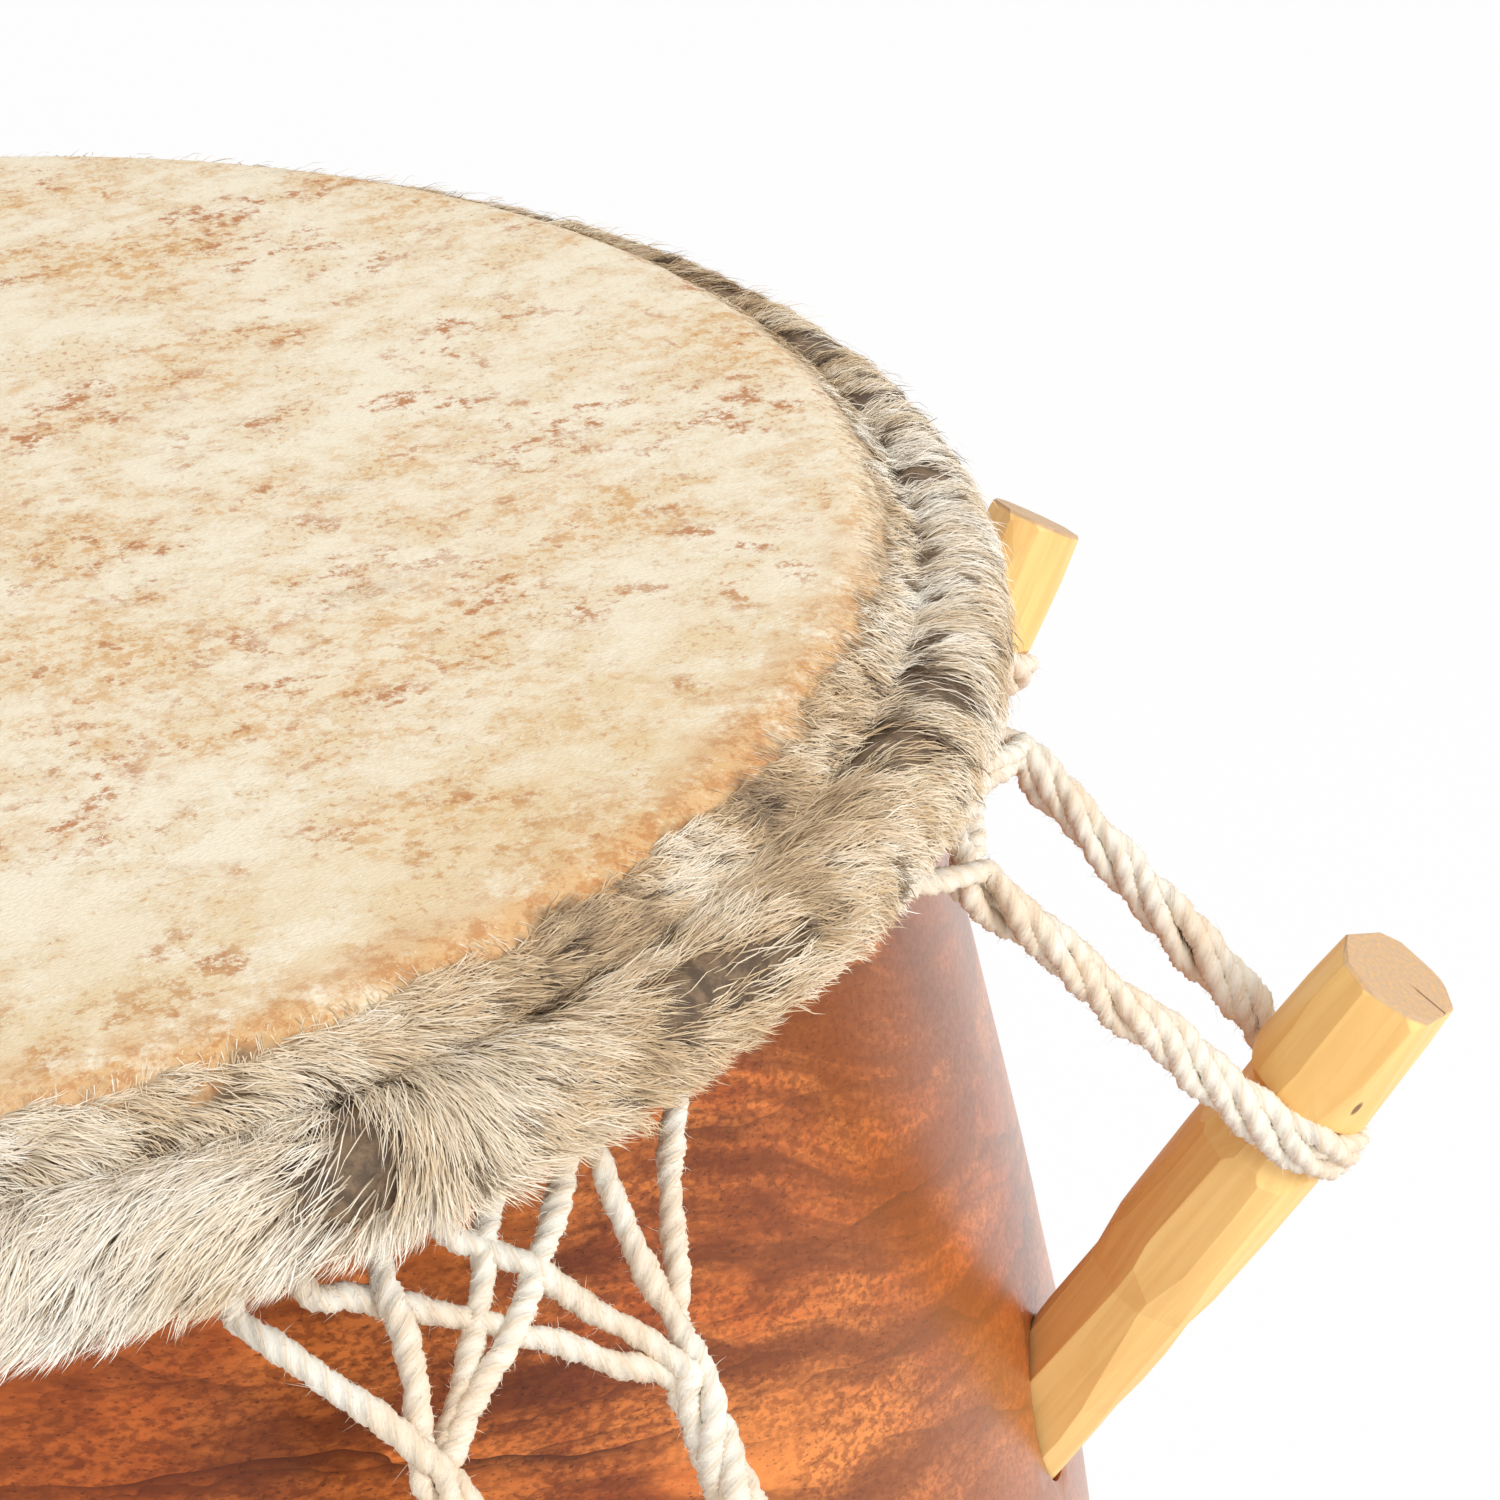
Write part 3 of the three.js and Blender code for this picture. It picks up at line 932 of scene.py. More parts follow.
class Roll:
    """The fur's ground: a place on the roll by length down it and azimuth."""

    def __init__(self):
        edge, roll, hem = roll_profile()
        tucked = [
            (hem[0][0] - inward * MM, HIDE_HEM - down * MM)
            for inward, down in ((0.7, 4), (2.6, 10), (6, 20))
        ]
        line = np.array([*edge[2:], *roll, *hem, *tucked])
        run = run_along(line)
        self.down = np.linspace(0, run[-1], 600)
        self.radius = np.interp(self.down, run, line[:, 0])
        self.height = np.interp(self.down, run, line[:, 1])
        along = np.gradient(self.radius), np.gradient(self.height)
        length = np.hypot(*along)
        self.out, self.up = -along[1] / length, along[0] / length
        self.hem = float(run[-1 - len(tucked)])

    def at(self, down, azimuth):
        """Points and outward directions."""
        radius, height, out, up = (
            np.interp(down, self.down, values)
            for values in (self.radius, self.height, self.out, self.up)
        )
        return polar(radius, azimuth, height), unit(polar(out, azimuth, up))


def ribbons(lines, sides, widths):
    """Flat tapering hairs along lines (hairs, points, 3): their points, the corners of
    their faces, how many each face has, and which points of a hair its corners are."""
    count, points, _ = lines.shape
    across = sides * widths[..., None] / 2
    left, right = lines[:, :-1] - across[:, :-1], lines[:, :-1] + across[:, :-1]
    pairs = np.stack([left, right], 2).reshape(count, -1, 3)
    places = np.concatenate([pairs, lines[:, -1:]], 1)
    base = np.arange(count)[:, None] * (2 * points - 1)
    quads = [[2 * i, 2 * i + 1, 2 * i + 3, 2 * i + 2] for i in range(points - 2)]
    last = 2 * points - 4
    corner = np.array([c for quad in quads for c in quad] + [last, last + 1, last + 2])
    totals = np.tile([4] * (points - 2) + [3], count)
    return places.reshape(-1, 3), (base + corner).ravel(), totals, corner


def combed(degrees, values):
    """How the hair lies at azimuths in degrees, by one row of the comb's values."""
    return np.interp(degrees, COMB_AZIMUTH, values)


class Coat:
    """Every hair of the roll: its root, lock, line, cross direction, width and tone."""

    steps = np.array([0, 0.34, 0.7, 1.0])
    taper = np.array([1.0, 0.95, 0.62, 0.0])

    def __init__(self, settings, random):
        self.random, self.roll = random, Roll()
        self.plant(settings.count)
        self.gather()
        comb, length, stand = self.comb(settings.length)
        normal = self.grow(comb, length, stand)
        self.flatten(normal, settings.width)
        self.colour()

    def plant(self, count):
        """Roots hairs at random, all but those that root in a bare patch or reach one."""
        down = self.random.uniform(2.2 * MM, self.roll.hem + 0.3 * MM, count)
        azimuth = self.random.uniform(-math.pi, math.pi, count)
        spot, _ = self.roll.at(down, azimuth)
        degrees = np.degrees(azimuth)
        kept = bare_patches(degrees, down, spot, self.random)
        kept &= down > (3.5 + 1.3 * patchy(spot, 5 * MM, 23)) * MM
        turn = np.radians(combed(degrees, COMB_TURN))
        tip_down = down + 5 * MM * np.cos(turn)
        tip_degrees = degrees + np.degrees(5 * MM * np.sin(turn) / FUR_RADIUS)
        kept &= bare_patches(tip_degrees, tip_down, spot, self.random)
        self.down, self.azimuth, self.spot = down[kept], azimuth[kept], spot[kept]
        self.degrees, self.count = degrees[kept], int(kept.sum())
        self.outer = np.clip((self.down - INNER_BAND) / (4 * MM), 0, 1)
        self.share = combed(self.degrees, COMB_LENGTH)

    def gather(self):
        """Finds the lock that each hair leans into, and that lock's own chance values."""
        columns = int(math.tau * FUR_RADIUS / LOCK)
        column = np.floor((self.azimuth + math.pi) / math.tau * columns).astype(int)
        row = np.floor(self.down / LOCK + 0.5 * (column % 2)).astype(int)
        lot = self.random.uniform(-1, 1, (LOCKS, 7))[(row * columns + column) % LOCKS]
        self.lot = lot.T
        self.gap = self.lot[6] > 0.72
        self.lock_down = (row - 0.5 * (column % 2) + 0.5 + 0.35 * self.lot[0]) * LOCK
        self.lock_azimuth = (column + 0.5 + 0.35 * self.lot[1]) / columns * math.tau - math.pi

    def comb(self, full):
        """The hairs' direction down the roll, their length and how far they stand off."""
        random, count, down = self.random, self.count, self.down
        turn = combed(self.degrees, COMB_INNER)
        turn += (combed(self.degrees, COMB_TURN) - turn) * self.outer
        swirl = 20 * patchy(self.spot, 17 * MM, 11) + 12 * self.lot[2]
        comb = np.radians(turn + (swirl + random.normal(0, 8, count)))
        grown = np.clip((down - 2 * MM) / (7 * MM), 0, 1)
        length = full * self.share * (0.5 + 0.5 * grown)
        stray = random.uniform(0.65, 1.2, count)
        length *= (1 + 0.15 * self.lot[3]) * stray * np.where(self.gap, 0.6, 1)
        overhang = (3.3 + 1.0 * patchy(self.spot * [1, 1, 0], 12 * MM, 12)) * MM
        room = self.roll.hem + overhang * random.uniform(0.7, 1.15, count) - down
        length = np.minimum(length, np.maximum(room, 2.5 * MM) / np.maximum(np.cos(comb), 0.4))
        stand = (0.8 + 0.4 * self.lot[4] + np.abs(random.normal(0, 0.35, count))) * MM
        stand *= (0.45 + 0.55 * grown) * np.where(self.gap, 0.8, 1) * (0.35 + 0.65 * self.share)
        stand += (random.random(count) < 0.035) * random.uniform(0.3, 1.8, count) * MM
        return comb, length, stand

    def grow(self, comb, length, stand):
        """Draws the hairs' lines over the roll, and gives back its directions outward."""
        steps = self.steps
        pull = 0.6 * steps**1.5
        downs = self.down[:, None] + (length * np.cos(comb))[:, None] * steps
        downs += (self.lock_down - self.down)[:, None] * pull
        azimuths = (length * np.sin(comb) / FUR_RADIUS)[:, None] * steps
        azimuths = self.azimuth[:, None] + azimuths
        azimuths += (self.lock_azimuth - self.azimuth)[:, None] * pull
        base, normal = self.roll.at(downs, azimuths)
        rise = (1 - (1 - steps) ** 2)[None, :] * stand[:, None]
        lines = base + normal * rise[..., None]
        first = (lines[:, 1:2] - lines[:, :1]) * (steps / steps[1])[None, :, None]
        lines = lines + (lines[:, :1] + first - lines) * (0.1 * steps)[None, :, None]
        lines[:, 1:] += self.random.normal(0, 0.16 * MM, (self.count, 3, 3))
        self.lines = lines
        return normal

    def flatten(self, normal, width):
        """Sets which way each flat hair faces, and how wide it is along its line."""
        along = unit(np.gradient(self.lines, axis=1))
        flat = unit(np.cross(along, normal))
        lean = self.random.uniform(-0.7, 0.7, self.count)[:, None, None]
        self.sides = unit(flat * np.cos(lean) + np.cross(along, flat) * np.sin(lean))
        thick = width * self.random.uniform(0.7, 1.25, self.count)
        self.widths = thick[:, None] * self.taper

    def colour(self):
        """Gives each hair its tone, from 0 at the palest to 1 at the darkest."""
        tone = 0.13 * patchy(self.spot, 13 * MM, 21) + 0.12 * patchy(self.spot, 5 * MM, 22)
        mixed = np.clip((self.degrees + 80) / 30, 0.55, 1)
        tone = 0.27 + combed(self.degrees, COMB_SHADE) / 100 + mixed * (tone + 0.08 * self.lot[5])
        tone += self.random.normal(0, 0.06, self.count)
        shadow = self.gap & (self.random.random(self.count) < mixed) & (self.down > INNER_BAND)
        tone = np.where(shadow, 0.7 + 0.3 * tone, tone) + 0.1 * (1 - self.outer)
        self.tone = np.clip(tone, 0.03, 0.96)


def bare_patches(degrees, down, spot, random):
    """Which hairs to keep: few in the named bare patches, and in some all the way round."""
    bare = np.clip((patchy(spot, 10 * MM, 24) - 0.75) * 6, 0, 1)
    bare *= (degrees < -112) | (degrees > 30)
    for azimuth, middle, around, along in BARE_PATCHES:
        wide = np.radians(degrees - azimuth) * FUR_RADIUS / MM / around
        long = (down / MM - middle) / along
        ragged = 1 + 0.3 * patchy(spot, 2.5 * MM, 25)
        bare = np.maximum(bare, np.clip((ragged - np.hypot(wide, long)) * 3.5, 0, 1))
    return random.random(len(down)) > 0.93 * bare


def coat_mesh(name, lines, sides, widths, tone, steps, root=0.03):
    """A mesh of hairs whose map holds each one's tone across and root to tip along."""
    places, corners, totals, pattern = ribbons(lines, sides, widths)
    across = np.array([0.006 * (-1) ** (1 - i % 2) for i in range(2 * len(steps) - 2)] + [0.0])
    along = np.concatenate([np.repeat(steps[:-1], 2), steps[-1:]])
    tones = (tone[:, None] + across[pattern][None, :]).ravel()
    alongs = np.tile(root + (0.97 - root) * along[pattern], len(tone))
    return built_mesh(name, places, corners, totals, np.stack([tones, alongs], -1))


class DRUM_OT_fur(bpy.types.Operator):
    """Grows the fur round the roll in six pieces, and stubble on the shaved skin"""

    bl_idname = "drum.fur"
    bl_label = "Fur"

    def execute(self, context):
        settings = context.scene.drum_fur
        random = np.random.default_rng(7)
        hair = goat_hair(settings)
        fur = Coat(settings, random)
        sector = ((fur.azimuth + math.pi) / math.tau * COAT_PIECES).astype(int) % COAT_PIECES
        for number in range(COAT_PIECES):
            own = sector == number
            hairs = (values[own] for values in (fur.lines, fur.sides, fur.widths, fur.tone))
            coat = coat_mesh(f"fur_{number + 1}", *hairs, fur.steps)
            wear(coat, hair)
            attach(coat, "drum")
        stubble = shaved_stubble(random)
        wear(stubble, hair)
        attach(stubble, "drum")
        return {"FINISHED"}


def shaved_stubble(random):
    """Short clipped hair, sparse on the playing area and thick and long at its edge."""
    field = 122 * MM * np.sqrt(random.random(9000))
    fringe = 136 * MM - np.abs(random.normal(0, 3.6 * MM, 15000))
    radius = np.concatenate([field, fringe])
    azimuth = random.uniform(-math.pi, math.pi, len(radius))
    height = np.full(len(radius), HEIGHT)
    over = np.clip(radius - EDGE_RADIUS, 0, None)
    height -= EDGE_CURVE - np.sqrt(EDGE_CURVE**2 - over**2)
    root = polar(radius, azimuth, height)
    edge = np.clip((radius - 124 * MM) / (10 * MM), 0, 1)
    length = (0.6 + 1.1 * edge) * random.uniform(0.5, 1.3, len(radius)) * MM
    turn = combed(np.degrees(azimuth), COMB_TURN)
    heading = azimuth + np.radians(turn) + random.normal(0, 0.5, len(radius))
    lift = random.uniform(0.04, 0.2, len(radius))
    way = np.stack([np.cos(heading), np.sin(heading), lift - 0.4 * edge], -1)
    steps = np.array([0, 0.5, 1.0])
    bend = np.array([0, 0, -0.25]) * (steps**2)[:, None]
    lines = root[:, None] + (way[:, None] * steps[:, None] + bend) * length[:, None, None]
    along = unit(np.gradient(lines, axis=1))
    sides = unit(np.cross(along, [0, 0, 1.0]))
    widths = (0.12 + 0.03 * edge)[:, None] * MM * np.array([1.0, 0.8, 0.0])
    tone = np.clip(0.12 + 0.34 * edge + random.normal(0, 0.1, len(radius)), 0.03, 0.96)
    return coat_mesh("shaved_stubble", lines, sides, widths, tone, steps, 0.6)


# The hoop


class DRUM_OT_hoop(bpy.types.Operator):
    """Bends an uneven cane round inside the roll"""

    bl_idname = "drum.hoop"
    bl_label = "Hoop"

    def execute(self, context):
        deselect()
        bpy.ops.mesh.primitive_torus_add(
            major_radius=HOOP_RADIUS,
            minor_radius=HOOP_ROD,
            major_segments=180,
            minor_segments=14,
            location=(0, 0, HOOP_HEIGHT),
        )
        hoop = bpy.context.object
        hoop.name = "cane_hoop"
        bpy.ops.object.transform_apply(location=True)
        places = vertex_places(hoop.data)
        places += 0.12 * MM * patchy(places, 9 * MM, 31)[:, None] * [0, 0, 1]
        move_vertices(hoop.data, places)
        bpy.ops.object.shade_smooth()
        wear(hoop, bent_cane(context.scene.drum_cord))
        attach(hoop, "drum")
        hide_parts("hoop")
        return {"FINISHED"}


# The pegs


class DRUM_OT_pegs(bpy.types.Operator):
    """Whittles the eight tuning pegs and drives them into the shell"""

    bl_idname = "drum.pegs"
    bl_label = "Pegs"

    def execute(self, context):
        settings = context.scene.drum_pegs
        wood = whittled_wood(settings)
        random = np.random.default_rng(19)
        for index in range(PEG_COUNT):
            peg = whittled_peg(index, settings.cuts, random)
            wear(peg, wood)
            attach(peg, f"peg_body_{index + 1}")
            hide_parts(f"peg_{index + 1}")
        return {"FINISHED"}


def peg_outline(reach):
    """Heights along a peg and its radii there: neck, swell, notch for the cord, head."""
    swell = reach - LOOP_BACK
    return (
        (PEG_INNER + PEG_CHAMFER, PEG_NECK_RADIUS),
        (-16 * MM, PEG_NECK_RADIUS),
        (0, PEG_NECK_RADIUS),
        (6 * MM, PEG_NECK_RADIUS),
        (12 * MM, PEG_NECK_RADIUS),
        (PEG_NECK_LENGTH + 3 * MM, PEG_NECK_RADIUS),
        (PEG_NECK_LENGTH + 12 * MM, 9.1 * MM),
        (swell - 12 * MM, PEG_SWELL_RADIUS - 0.2 * MM),
        (swell - 8 * MM, PEG_SWELL_RADIUS - 0.2 * MM),
        (swell - 4 * MM, NOTCH_RADIUS),
        (swell + 2 * MM, NOTCH_RADIUS),
        (swell + 3.8 * MM, PEG_SWELL_RADIUS - 0.1 * MM),
        (swell + 12 * MM, PEG_SWELL_RADIUS - 0.4 * MM),
        (reach - PEG_CHAMFER, PEG_TIP_RADIUS),
    )


def whittled_peg(index, cuts, random):
    """One peg, whittled in its own frame and then set in its place."""
    reach = peg_reach(index)
    profile = [(0, PEG_INNER), (PEG_NECK_RADIUS - PEG_CHAMFER, PEG_INNER)]
    profile += [(radius, height) for height, radius in peg_outline(reach)]
    profile += [(PEG_TIP_RADIUS - PEG_CHAMFER, reach), (0, reach)]
    peg = spin_profile(f"peg_wood_{index + 1}", profile, PEG_FACETS)
    move_vertices(peg.data, uneven_facets(vertex_places(peg.data), index))
    edit_all()
    bpy.ops.mesh.quads_convert_to_tris()
    for number in range(cuts):
        knife_cut(number, reach, PEG_GIRTH[index % 4], random)
    close_cuts()
    bevel_edges(20, 0.16 * MM)
    bpy.ops.object.shade_smooth_by_angle(angle=math.radians(6))
    own = vertex_places(peg.data) - [0, 0, reach]
    keep_places(peg.data, "grain", own + 0.37 * (index + 1) * np.array([1.0, 0.6, 0.0]))
    turn = Matrix.Rotation(2.4 * (index - 1), 3, "Z")
    keep_places(peg.data, "peg_place", own @ np.array(turn))
    peg.data.transform(peg_place(index))
    return peg


def uneven_facets(places, index):
    """Turns a peg's edges off their even places, thins it unevenly, and fills out the
    outer side of its shank, clear of the hole's mouth."""
    height = places[:, 2]
    radius = np.hypot(places[:, 0], places[:, 1])
    angle = np.arctan2(places[:, 1], places[:, 0])
    column = np.round(angle / math.tau * PEG_FACETS) % PEG_FACETS
    stray = np.stack([column * 7.3, np.full(len(column), 3.1 * index), height / (26 * MM)], -1)
    angle += math.radians(10) * patchy(stray, 1.0, 41)
    shrink = 0.035 * np.abs(patchy(stray + 50, 1.0, 42)) * (radius > MM)
    radius = radius * (1 - shrink) * PEG_GIRTH[index % 4]
    outer = np.clip(np.cos(angle), 0, 1)
    shank = np.clip((height - (14.5 * MM - PEG_MOUTH * outer)) / (9 * MM), 0, 1)
    shank *= height < peg_reach(index) - LOOP_BACK - 6 * MM
    return polar(radius + 1.4 * MM * shank * outer, angle, height)


def close_cuts():
    """Merges what the knife left, takes out faces inside the peg and leaves edit mode."""
    bpy.ops.mesh.select_all(action="SELECT")
    bpy.ops.mesh.remove_doubles(threshold=0.006 * MM)
    bpy.ops.mesh.select_mode(type="FACE")
    bpy.ops.mesh.select_all(action="DESELECT")
    bpy.ops.mesh.select_interior_faces()
    bpy.ops.mesh.delete(type="ONLY_FACE")
    bpy.ops.mesh.select_mode(type="VERT")
    bpy.ops.mesh.select_all(action="SELECT")
    bpy.ops.mesh.fill_holes(sides=0)
    bpy.ops.mesh.normals_make_consistent(inside=False)
    bpy.ops.mesh.dissolve_limited(angle_limit=math.radians(1))
    bpy.ops.object.mode_set(mode="OBJECT")


def knife_cut(number, reach, girth, random):
    """Slices a sliver off the peg: some off the end's edge, others along head or shank."""
    turn = random.uniform(0, math.tau)
    round_way = Vector((math.cos(turn), math.sin(turn), 0))
    swell = reach - LOOP_BACK
    if number % 4 == 0:
        facing = (round_way + Vector((0, 0, random.uniform(0.4, 1.0)))).normalized()
        corner = round_way * PEG_TIP_RADIUS * girth
        at = corner + Vector((0, 0, reach)) - facing * random.uniform(0.4, 1.0) * MM
    else:
        if number % 4 == 1:
            tilt, spread = (0.02, 0.09), (swell + 7 * MM, reach - 7 * MM)
            shallower, depth = 0.5 * MM, (0.1, 0.55)
        else:
            tilt, spread = (-0.035, 0.01), (PEG_NECK_LENGTH + 14 * MM, swell - 9 * MM)
            shallower, depth = 0.3 * MM, (0.05, 0.5)
        facing = (round_way + Vector((0, 0, random.uniform(*tilt)))).normalized()
        height = random.uniform(*spread)
        flat = (PEG_SWELL_RADIUS - shallower) * girth * math.cos(math.pi / PEG_FACETS)
        at = round_way * (flat - random.uniform(*depth) * MM) + Vector((0, 0, height))
    bpy.ops.mesh.select_all(action="SELECT")
    bpy.ops.mesh.bisect(plane_co=at, plane_no=facing, use_fill=True, clear_outer=True)


# The lacing


def smooth_through(points, step):
    """A closed line of even steps that passes smoothly through points, and its length."""
    before = np.roll(points, 1, axis=0)
    after, beyond = np.roll(points, -1, axis=0), np.roll(points, -2, axis=0)
    share = np.linspace(0, 1, 12, endpoint=False)[:, None, None]
    line = 0.5 * (
        2 * points
        + (after - before) * share
        + (2 * before - 5 * points + 4 * after - beyond) * share**2
        + (3 * points - before - 3 * after + beyond) * share**3
    )
    line = line.transpose(1, 0, 2).reshape(-1, 3)
    line = np.concatenate([line, line[:1]])
    run = run_along(line)
    count = int(round(run[-1] / step))
    even = np.linspace(0, run[-1], count, endpoint=False)
    return np.stack([np.interp(even, run, line[:, axis]) for axis in range(3)], -1), run[-1]


def bundle_line(index):
    """The middle of the bundle in the peg's sector, from its left gather round the peg's
    outer face to its right one, with how much it lies flat on the peg, the peg's way
    outward and the middle of the loop."""
    foot = np.array([outside_radius(PEG_HEIGHT), 0, PEG_HEIGHT])
    outward = np.array([math.sin(PEG_LEAN), 0, math.cos(PEG_LEAN)])
    facing = np.array([math.cos(PEG_LEAN), 0, -math.sin(PEG_LEAN)])
    centre = foot + outward * (peg_reach(index) - LOOP_BACK)
    loop_radius = NOTCH_RADIUS * PEG_GIRTH[index % 4] + 1.5 * MM
    hem = np.array([HOOP_RADIUS, 0, HEM_HEIGHT])
    toward = (centre - hem) / np.linalg.norm(centre - hem)

    def gather(side, distance):
        spot = hem + toward * distance * MM
        spot[1] = side * GATHER_SIDE[index] * MM
        return spot

    left, right = gather(-1, GATHER_LEFT[index]), gather(1, GATHER_RIGHT[index])
    angles = np.radians(np.linspace(-90, 90, 19))
    loop = centre + loop_radius * (
        np.cos(angles)[:, None] * facing + np.sin(angles)[:, None] * [0, 1, 0]
    )
    lead_in = left + (loop[0] - left) * np.linspace(0, 1, 24)[:-1, None]
    lead_out = loop[-1] + (right - loop[-1]) * np.linspace(0, 1, 24)[1:, None]
    flat = np.concatenate([np.zeros(23), np.ones(19), np.zeros(23)])
    flat = np.convolve(np.pad(flat, 4, "edge"), np.full(9, 1 / 9), "valid")
    return np.concatenate([lead_in, loop, lead_out]), flat, outward, centre


def cord_points(index, cords, settings):
    """Each cord of a lacing in turn: round the peg in the bundle, then up over the hoop."""
    line, flat, outward, _ = bundle_line(index)
    run = run_along(line)
    along = unit(np.gradient(line, axis=0))
    across = np.tile(outward, (len(line), 1))
    across = unit(across - along * np.sum(across * along, -1, keepdims=True))
    away = np.cross(along, across)
    spread = CORD_APART * (1 + 0.4 * flat)
    depth = CORD_APART * (1 - 0.75 * flat)
    hem = HOOP_RADIUS + settings.radius, HEM_HEIGHT - settings.radius

    for number, (up, down) in enumerate(cords):
        turn = number * math.tau / len(cords) + run * math.tau / settings.bundle_lay
        path = line + across * (spread * np.cos(turn))[:, None]
        path += away * (depth * np.sin(turn))[:, None]
        share = np.linspace(1, 0, 9)
        angle = np.radians(-20 + 220 * share)
        hook = polar(
            HOOP_RADIUS + HOOK_RADIUS * np.cos(angle),
            np.radians(up + (down - up) * share),
            HOOP_HEIGHT + HOOK_RADIUS * np.sin(angle),
        )
        rise = strand(path[-1], polar(hem[0], math.radians(down), hem[1]), -0.9 * MM)
        fall = strand(polar(hem[0], math.radians(up), hem[1]), path[0], 0.9 * MM)
        yield np.concatenate([path, rise, hook, fall])


def strand(start, end, bow):
    """Points between two places, bowed to the drum or from it so that strands can cross."""
    share = np.linspace(0, 1, 9)[:, None]
    points = start + (end - start) * share
    radial = points * [1, 1, 0]
    points = points + unit(radial) * bow * np.sin(np.pi * share)
    return points[1:] if bow < 0 else points[:-1]


def swept_cord(line, length, settings, column, columns):
    """A three-ply cord swept along a closed line: points, faces and map places."""
    count = len(line)
    along = unit(np.roll(line, -1, axis=0) - np.roll(line, 1, axis=0))
    side = np.empty_like(line)
    side[0] = unit(np.cross(along[0], [0.3, 0.2, 1.0]))
    for i in range(1, count):
        side[i] = side[i - 1] - along[i] * np.dot(side[i - 1], along[i])
        side[i] /= np.linalg.norm(side[i])
    last = side[-1] - along[0] * np.dot(side[-1], along[0])
    other = np.cross(along[0], side[0])
    drift = math.atan2(np.dot(last, other), np.dot(last, side[0]))
    turns = round(length / settings.lay) * math.tau - drift
    share = np.arange(count) / count
    around = np.linspace(0, math.tau, CORD_FACETS + 1)[:-1]
    lobe = np.abs(np.cos(CORD_PLIES / 2 * around)) ** 0.8
    section = settings.radius * (0.8 + 0.2 * lobe)
    lumps = 1 + 0.13 * patchy(line, 3.2 * MM, 50)
    angle = around[None, :] + (share * turns)[:, None]
    binormal = np.cross(along, side)
    ring = side[:, None] * np.cos(angle)[..., None] + binormal[:, None] * np.sin(angle)[..., None]
    places = line[:, None] + ring * section[None, :, None] * lumps[:, None, None]
    i, j = np.meshgrid(np.arange(count), np.arange(CORD_FACETS), indexing="ij")
    ring, next_ring = i * CORD_FACETS, (i + 1) % count * CORD_FACETS
    next_j = (j + 1) % CORD_FACETS
    corners = np.stack([ring + j, ring + next_j, next_ring + next_j, next_ring + j], -1)
    u = (column + 0.01 + 0.98 * np.stack([j, j + 1, j + 1, j], -1) / CORD_FACETS) / columns
    v = np.stack([i, i, i + 1, i + 1], -1) / count
    spots = np.stack([u, v], -1).reshape(-1, 2)
    return places.reshape(-1, 3), corners.reshape(-1, 4), spots


def fuzz(places, centre_line, random, column, columns):
    """Loose fibres standing off a cord: points, corners, totals and map places."""
    count = CORD_FIBRES
    pick = random.integers(0, len(places), count)
    root = places[pick]
    out = unit(root - np.repeat(centre_line, CORD_FACETS, axis=0)[pick])
    way = unit(0.6 * out + random.normal(0, 0.8, (count, 3)))
    length = random.gamma(1.4, 0.18, count) * MM + 0.25 * MM
    curl = random.normal(0, 0.8, (count, 3))
    steps = np.array([0, 0.5, 1.0])
    lines = root[:, None] + way[:, None] * (length[:, None] * steps)[..., None]
    lines += curl[:, None] * (length[:, None] * steps**2)[..., None]
    sides = unit(np.cross(unit(np.gradient(lines, axis=1)), random.normal(0, 1, (count, 1, 3))))
    widths = np.full((count, 1), 0.06 * MM) * np.array([1.0, 0.8, 0.0])
    fibre_places, corners, totals, pattern = ribbons(lines, sides, widths)
    spot = np.array([(column + 0.5) / columns, 0.5])
    nudge = np.stack([np.arange(len(pattern)) % 2, np.arange(len(pattern)) // 2], -1) * 0.002
    return fibre_places, corners, totals, np.tile(spot + nudge, (count, 1))


class DRUM_OT_lacing(bpy.types.Operator):
    """Lays four cords over the hoop and round each peg, twisted into one bundle"""

    bl_idname = "drum.lacing"
    bl_label = "Lacing"

    def execute(self, context):
        settings = context.scene.drum_cord
        fabric = cotton(settings)
        random = np.random.default_rng(3)
        for index in range(PEG_COUNT):
            lacing = laid_lacing(index, settings, random)
            wear(lacing, fabric)
            turn = Matrix.Rotation(peg_angle(index), 3, "Z")
            line, _, _, centre = bundle_line(index)
            lacing.data.transform(turn.to_4x4())
            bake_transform(lacing)
            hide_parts(f"lacing_{index + 1}")
        return {"FINISHED"}


def laid_lacing(index, settings, random):
    """One peg's lacing in its own sector, with the peg's foot on the +X side."""
    parts, base = [], 0
    columns = len(HOOKS)
    for column, points in enumerate(cord_points(index, HOOKS, settings)):
        line, length = smooth_through(points, CORD_STEP)
        for cell, most in ((9 * MM, 0.6 * MM), (3.5 * MM, 0.22 * MM)):
            for axis in range(3):
                line[:, axis] += most * patchy(line, cell, 60 + 9 * index + 3 * column + axis)
        places, corners, spots = swept_cord(line, length, settings, column, columns)
        parts.append((places, (corners + base).ravel(), np.full(len(corners), 4), spots))
        base += len(places)
        places, corners, totals, spots = fuzz(places, line, random, column, columns)
        parts.append((places, corners + base, totals, spots))
        base += len(places)
    places, corners, totals, spots = (np.concatenate(part) for part in zip(*parts))
    return built_mesh(f"cord_lacing_{index + 1}", places, corners, totals, spots)


# The stage


